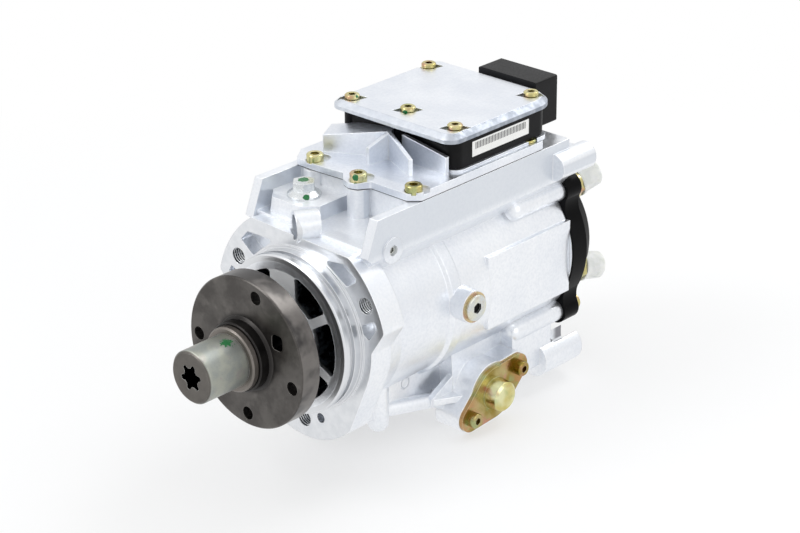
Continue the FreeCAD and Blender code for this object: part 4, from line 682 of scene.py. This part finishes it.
def points_object(name, points_mm):
    mesh = bpy.data.meshes.new(name)
    mesh.from_pydata([Vector(p) * MM for p in points_mm], [], [])
    made = bpy.data.objects.new(name, mesh)
    bpy.context.scene.collection.objects.link(made)
    return made


def plain_mesh(made, tree, values, name):
    """Runs the tree on an object and returns its result as an ordinary mesh object."""
    modifier = made.modifiers.new(tree.name, "NODES")
    modifier.node_group = tree
    sockets = {s.name: s.identifier for s in tree.interface.items_tree if s.in_out == "INPUT"}
    for label, value in values.items():
        modifier[sockets[label]] = value
    graph = bpy.context.evaluated_depsgraph_get()
    mesh = bpy.data.meshes.new_from_object(made.evaluated_get(graph), depsgraph=graph)
    made.modifiers.clear()
    bpy.data.objects.remove(made)
    result = bpy.data.objects.new(name, mesh)
    bpy.context.scene.collection.objects.link(result)
    mesh.shade_smooth()
    print(name, len(mesh.polygons), "faces")
    return result


def helix_tree(name, finish):
    """One helix at each point, rising along its own Z, which Turn lays down."""
    tree, given, result = new_tree(name, [
        ("Radius", "NodeSocketFloat", 4.8 * MM), ("Pitch", "NodeSocketFloat", 1.5 * MM),
        ("Turns", "NodeSocketFloat", 6.0), ("Wire", "NodeSocketFloat", 0.5 * MM),
        ("Sides", "NodeSocketInt", 4), ("Turn", "NodeSocketVector", (0, 0, 0))])
    height = add(tree, TIMES, given["Pitch"], given["Turns"])
    spiral = add(tree, "GeometryNodeCurveSpiral", Resolution=40, Rotations=given["Turns"], Height=height,
                 Start_Radius=given["Radius"], End_Radius=given["Radius"])
    section = add(tree, "GeometryNodeCurvePrimitiveCircle", Resolution=given["Sides"], Radius=given["Wire"])
    sweep = add(tree, "GeometryNodeCurveToMesh", Curve=spiral, Profile_Curve=section, Fill_Caps=True)
    end_tree(tree, sweep, given["Geometry"], finish, result, given["Turn"])
    return tree


# %% Threads in the flange's holes
THREAD_START, THREAD_RADIUS, THREAD_TURNS = 0.7, 4.85 * MM, 8.0
hole_places = [(hole_x, THREAD_START, hole_z) for hole_x, hole_z in flange_holes]
thread_steel = ground_steel("cut_thread", "#EEF0F2", "#D6D9DD", 0.24)
threads = plain_mesh(
    points_object("thread_places", hole_places), helix_tree("m10_thread", thread_steel),
    {"Turn": (-math.pi / 2, 0, 0), "Radius": THREAD_RADIUS, "Turns": THREAD_TURNS}, "flange_threads")
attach(threads, "housing")

# %% [markdown]
# Under the drum lies the timing piston, and a coil spring pushes it towards "late". Here the spring
# is wound as a coil in the place of the frame's spring and rides with the housing.

# %% Timing spring
SPRING_WIRE = 1.0 * MM
SPRING_TURNS = 5.0
coil_low, coil_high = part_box("timing_spring")
spring_length = coil_high[0] - coil_low[0]
spring_radius = (coil_high[1] - coil_low[1]) / 2 - SPRING_WIRE
spring_middle = [(coil_low[i] + coil_high[i]) / 2 for i in (1, 2)]
spring_start = [c / MM for c in (coil_low[0] + SPRING_WIRE, *spring_middle)]
timing_spring = plain_mesh(
    points_object("spring_place", [spring_start]), helix_tree("coil_spring", spring_steel),
    {"Turn": (0, math.pi / 2, 0), "Radius": spring_radius, "Turns": SPRING_TURNS, "Wire": SPRING_WIRE,
     "Pitch": (spring_length - 2 * SPRING_WIRE) / SPRING_TURNS, "Sides": 14}, "wound_timing_spring")
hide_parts("timing_spring")
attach(timing_spring, "housing")
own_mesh(timing_spring)

# %% [markdown]
# A label of white paper sits on the side of the case. It carries one row of even bars and nothing
# else. The bars repeat, so Geometry Nodes lay them out from a line of points, and each is a thin
# box that stands a little proud of the paper.

# %% Paper and ink of the label
LABEL_X = 43.2
LABEL = {"front": 95.9, "rear": 145.2, "low": 86.1, "high": 95.3}


def label_paper():
    made, tree, where = start_material("label_paper")
    fibre = add(tree, NOISE, where, size(1.2), 3.0, 0.55)
    colour = add(tree, BLEND, add(tree, MASK, fibre, 0.35, 0.7), "#F4F4F1", "#FBFBF9")
    finish_material(tree, Base_Color=colour, Roughness=add(tree, MASK, fibre, 0.3, 0.7, 0.42, 0.52), IOR=1.45,
                    Normal=add(tree, BUMP, Height=fibre, Distance=0.01 * MM, Strength=0.5))
    return made


def label_ink():
    made, tree, where = start_material("label_ink")
    spread = add(tree, NOISE, where, size(0.6), 2.0, 0.55)
    colour = add(tree, BLEND, add(tree, MASK, spread, 0.3, 0.7), "#26272A", "#3A3B3F")
    finish_material(tree, Base_Color=colour, Roughness=add(tree, MASK, spread, 0.3, 0.7, 0.5, 0.6), IOR=1.45)
    return made


# %% Label on the electronics case
SUNK, PROUD = 0.1, 0.12
SOFT_EDGE = 0.05 * MM


def slab_mesh(name, low, high, finish):
    """A thin box with softened edges, from two corners in millimetres."""
    corners = [(x, y, z) for x in (low[0], high[0]) for y in (low[1], high[1]) for z in (low[2], high[2])]
    faces = [(0, 1, 3, 2), (4, 6, 7, 5), (0, 4, 5, 1), (2, 3, 7, 6), (0, 2, 6, 4), (1, 5, 7, 3)]
    mesh = bpy.data.meshes.new(name)
    mesh.from_pydata([Vector(c) * MM for c in corners], [], faces)
    mesh.materials.append(finish)
    made = bpy.data.objects.new(name, mesh)
    bpy.context.scene.collection.objects.link(made)
    soft = made.modifiers.new("edges", "BEVEL")
    soft.width, soft.segments = SOFT_EDGE, 2
    return made


paper = slab_mesh("case_label", (LABEL_X - SUNK, LABEL["front"], LABEL["low"]),
                  (LABEL_X + PROUD, LABEL["rear"], LABEL["high"]), label_paper())
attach(paper, "housing")
print("the label is", round(LABEL["rear"] - LABEL["front"], 1), "mm long")

# %% Bars on the label
BARS, BAR_STEP, BAR_WIDTH, MARGIN = 34, 1.3, 0.62 * MM, 3.0


def bar_tree(finish):
    tree, given, result = new_tree("label_bars", [
        ("Width", "NodeSocketFloat", 0.5 * MM), ("Height", "NodeSocketFloat", 4.0 * MM),
        ("Proud", "NodeSocketFloat", 0.1 * MM)])
    box = add(tree, "ShaderNodeCombineXYZ", X=given["Proud"], Y=given["Width"], Z=given["Height"])
    bar = add(tree, "GeometryNodeMeshCube", Size=box)
    end_tree(tree, bar, given["Geometry"], finish, result)
    return tree


bar_places = [
    (LABEL_X + PROUD, LABEL["front"] + MARGIN + BAR_STEP * i, LABEL["high"] - MARGIN) for i in range(BARS)]
bars = plain_mesh(
    points_object("bar_places", bar_places), bar_tree(label_ink()), {"Width": BAR_WIDTH}, "label_bars")
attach(bars, "housing")

# %% [markdown]
# The stage is a plain white floor under the pump. Close by, about half of it is an ordinary matt
# surface, which keeps the pump's soft shadow, and half glows as white as the background. Far out all
# of it glows, which hides the horizon. The metal mirrors it brighter than the camera sees it, as a
# sheet that is lit from below would.

# %% Floor
FLOOR_GAP, FLOOR_REACH, FLOOR_MIDDLE = 0.5 * MM, 6.0, 0.08
FADE = (0.22, 0.60)
GLOW_TO_CAMERA, GLOW_TO_METAL = 0.55, 0.82


def floor_white():
    made, tree, where = start_material("studio_floor")
    far = add(tree, MASK, add(tree, LENGTH, where), *FADE)
    mirrored = add(tree, "ShaderNodeLightPath").outputs["Is Glossy Ray"]
    glow = add(tree, LARGER, far, add(tree, MASK, mirrored, 0.0, 1.0, GLOW_TO_CAMERA, GLOW_TO_METAL))
    matt = add(tree, "ShaderNodeBsdfDiffuse", Color="#F4F5F6")
    white = add(tree, "ShaderNodeEmission", Color="#FFFFFF", Strength=1.0)
    add(tree, "ShaderNodeOutputMaterial", Surface=add(tree, "ShaderNodeMixShader", glow, matt, white))
    return made


floor_mesh = bpy.data.meshes.new("floor")
floor_corners = [(FLOOR_REACH * i, FLOOR_REACH * j, 0) for i, j in ((-1, -1), (1, -1), (1, 1), (-1, 1))]
floor_mesh.from_pydata(floor_corners, [], [(0, 1, 2, 3)])
floor_mesh.materials.append(floor_white())
floor = bpy.data.objects.new("floor", floor_mesh)
floor.location = (0.0, FLOOR_MIDDLE, cad_low.z - FLOOR_GAP)
bpy.context.scene.collection.objects.link(floor)
print("the floor lies", round(-floor.location.z / MM, 1), "mm below the shaft")

# %% [markdown]
# The world is white to the camera. To reflections it is paler overhead than near the horizon, which
# lets round metal show its shape, and as a light it is dimmer, so that white castings don't clip.
# Three large soft lamps shape the metal: one from the front left, one from the right and one from
# behind.

# %% World and lamps
WORLD_AS_LIGHT, HORIZON_LEVEL, HORIZON = 0.75, 0.86, (0.02, 0.45)
world = bpy.data.worlds.new("studio")
bpy.context.scene.world = world
world.use_nodes = True
sky = world.node_tree
sky.nodes.clear()
rays = add(sky, "ShaderNodeLightPath").outputs
seen = add(sky, LARGER, rays["Is Camera Ray"], rays["Is Glossy Ray"])
seen = add(sky, LARGER, seen, rays["Is Transmission Ray"])
level = add(sky, "ShaderNodeMapRange", seen, 0.0, 1.0, WORLD_AS_LIGHT, 1.0)
height = add(sky, SPLIT, add(sky, "ShaderNodeTexCoord").outputs["Generated"]).outputs["Z"]
dusk = add(sky, LARGER, add(sky, MASK, height, *HORIZON, HORIZON_LEVEL, 1.0), rays["Is Camera Ray"])
backdrop = add(sky, "ShaderNodeBackground", Color="#FFFFFF", Strength=add(sky, TIMES, level, dusk))
add(sky, "ShaderNodeOutputWorld", Surface=backdrop)


def lamp(name, place, target, width, watts):
    light = bpy.data.lights.new(name, "AREA")
    light.shape, light.size, light.energy = "SQUARE", width, watts
    made = bpy.data.objects.new(name, light)
    bpy.context.scene.collection.objects.link(made)
    made.location = place
    made.rotation_euler = (Vector(target) - Vector(place)).to_track_quat("-Z", "Y").to_euler()
    print("lamp", name, watts, "W")


lamp("key", (-0.5, -1.0, 1.2), (0, 0.05, 0), 0.7, 7.0)
lamp("side", (1.3, 0.1, 0.6), (0, 0.08, 0), 0.9, 2.2)
lamp("back", (0.1, 1.1, 1.2), (0, 0.08, 0), 0.8, 7.0)

# %% [markdown]
# The picture uses the plain Standard view, so a colour comes out about as it is written.

# %% Finish
bpy.context.scene.view_settings.view_transform = "Standard"
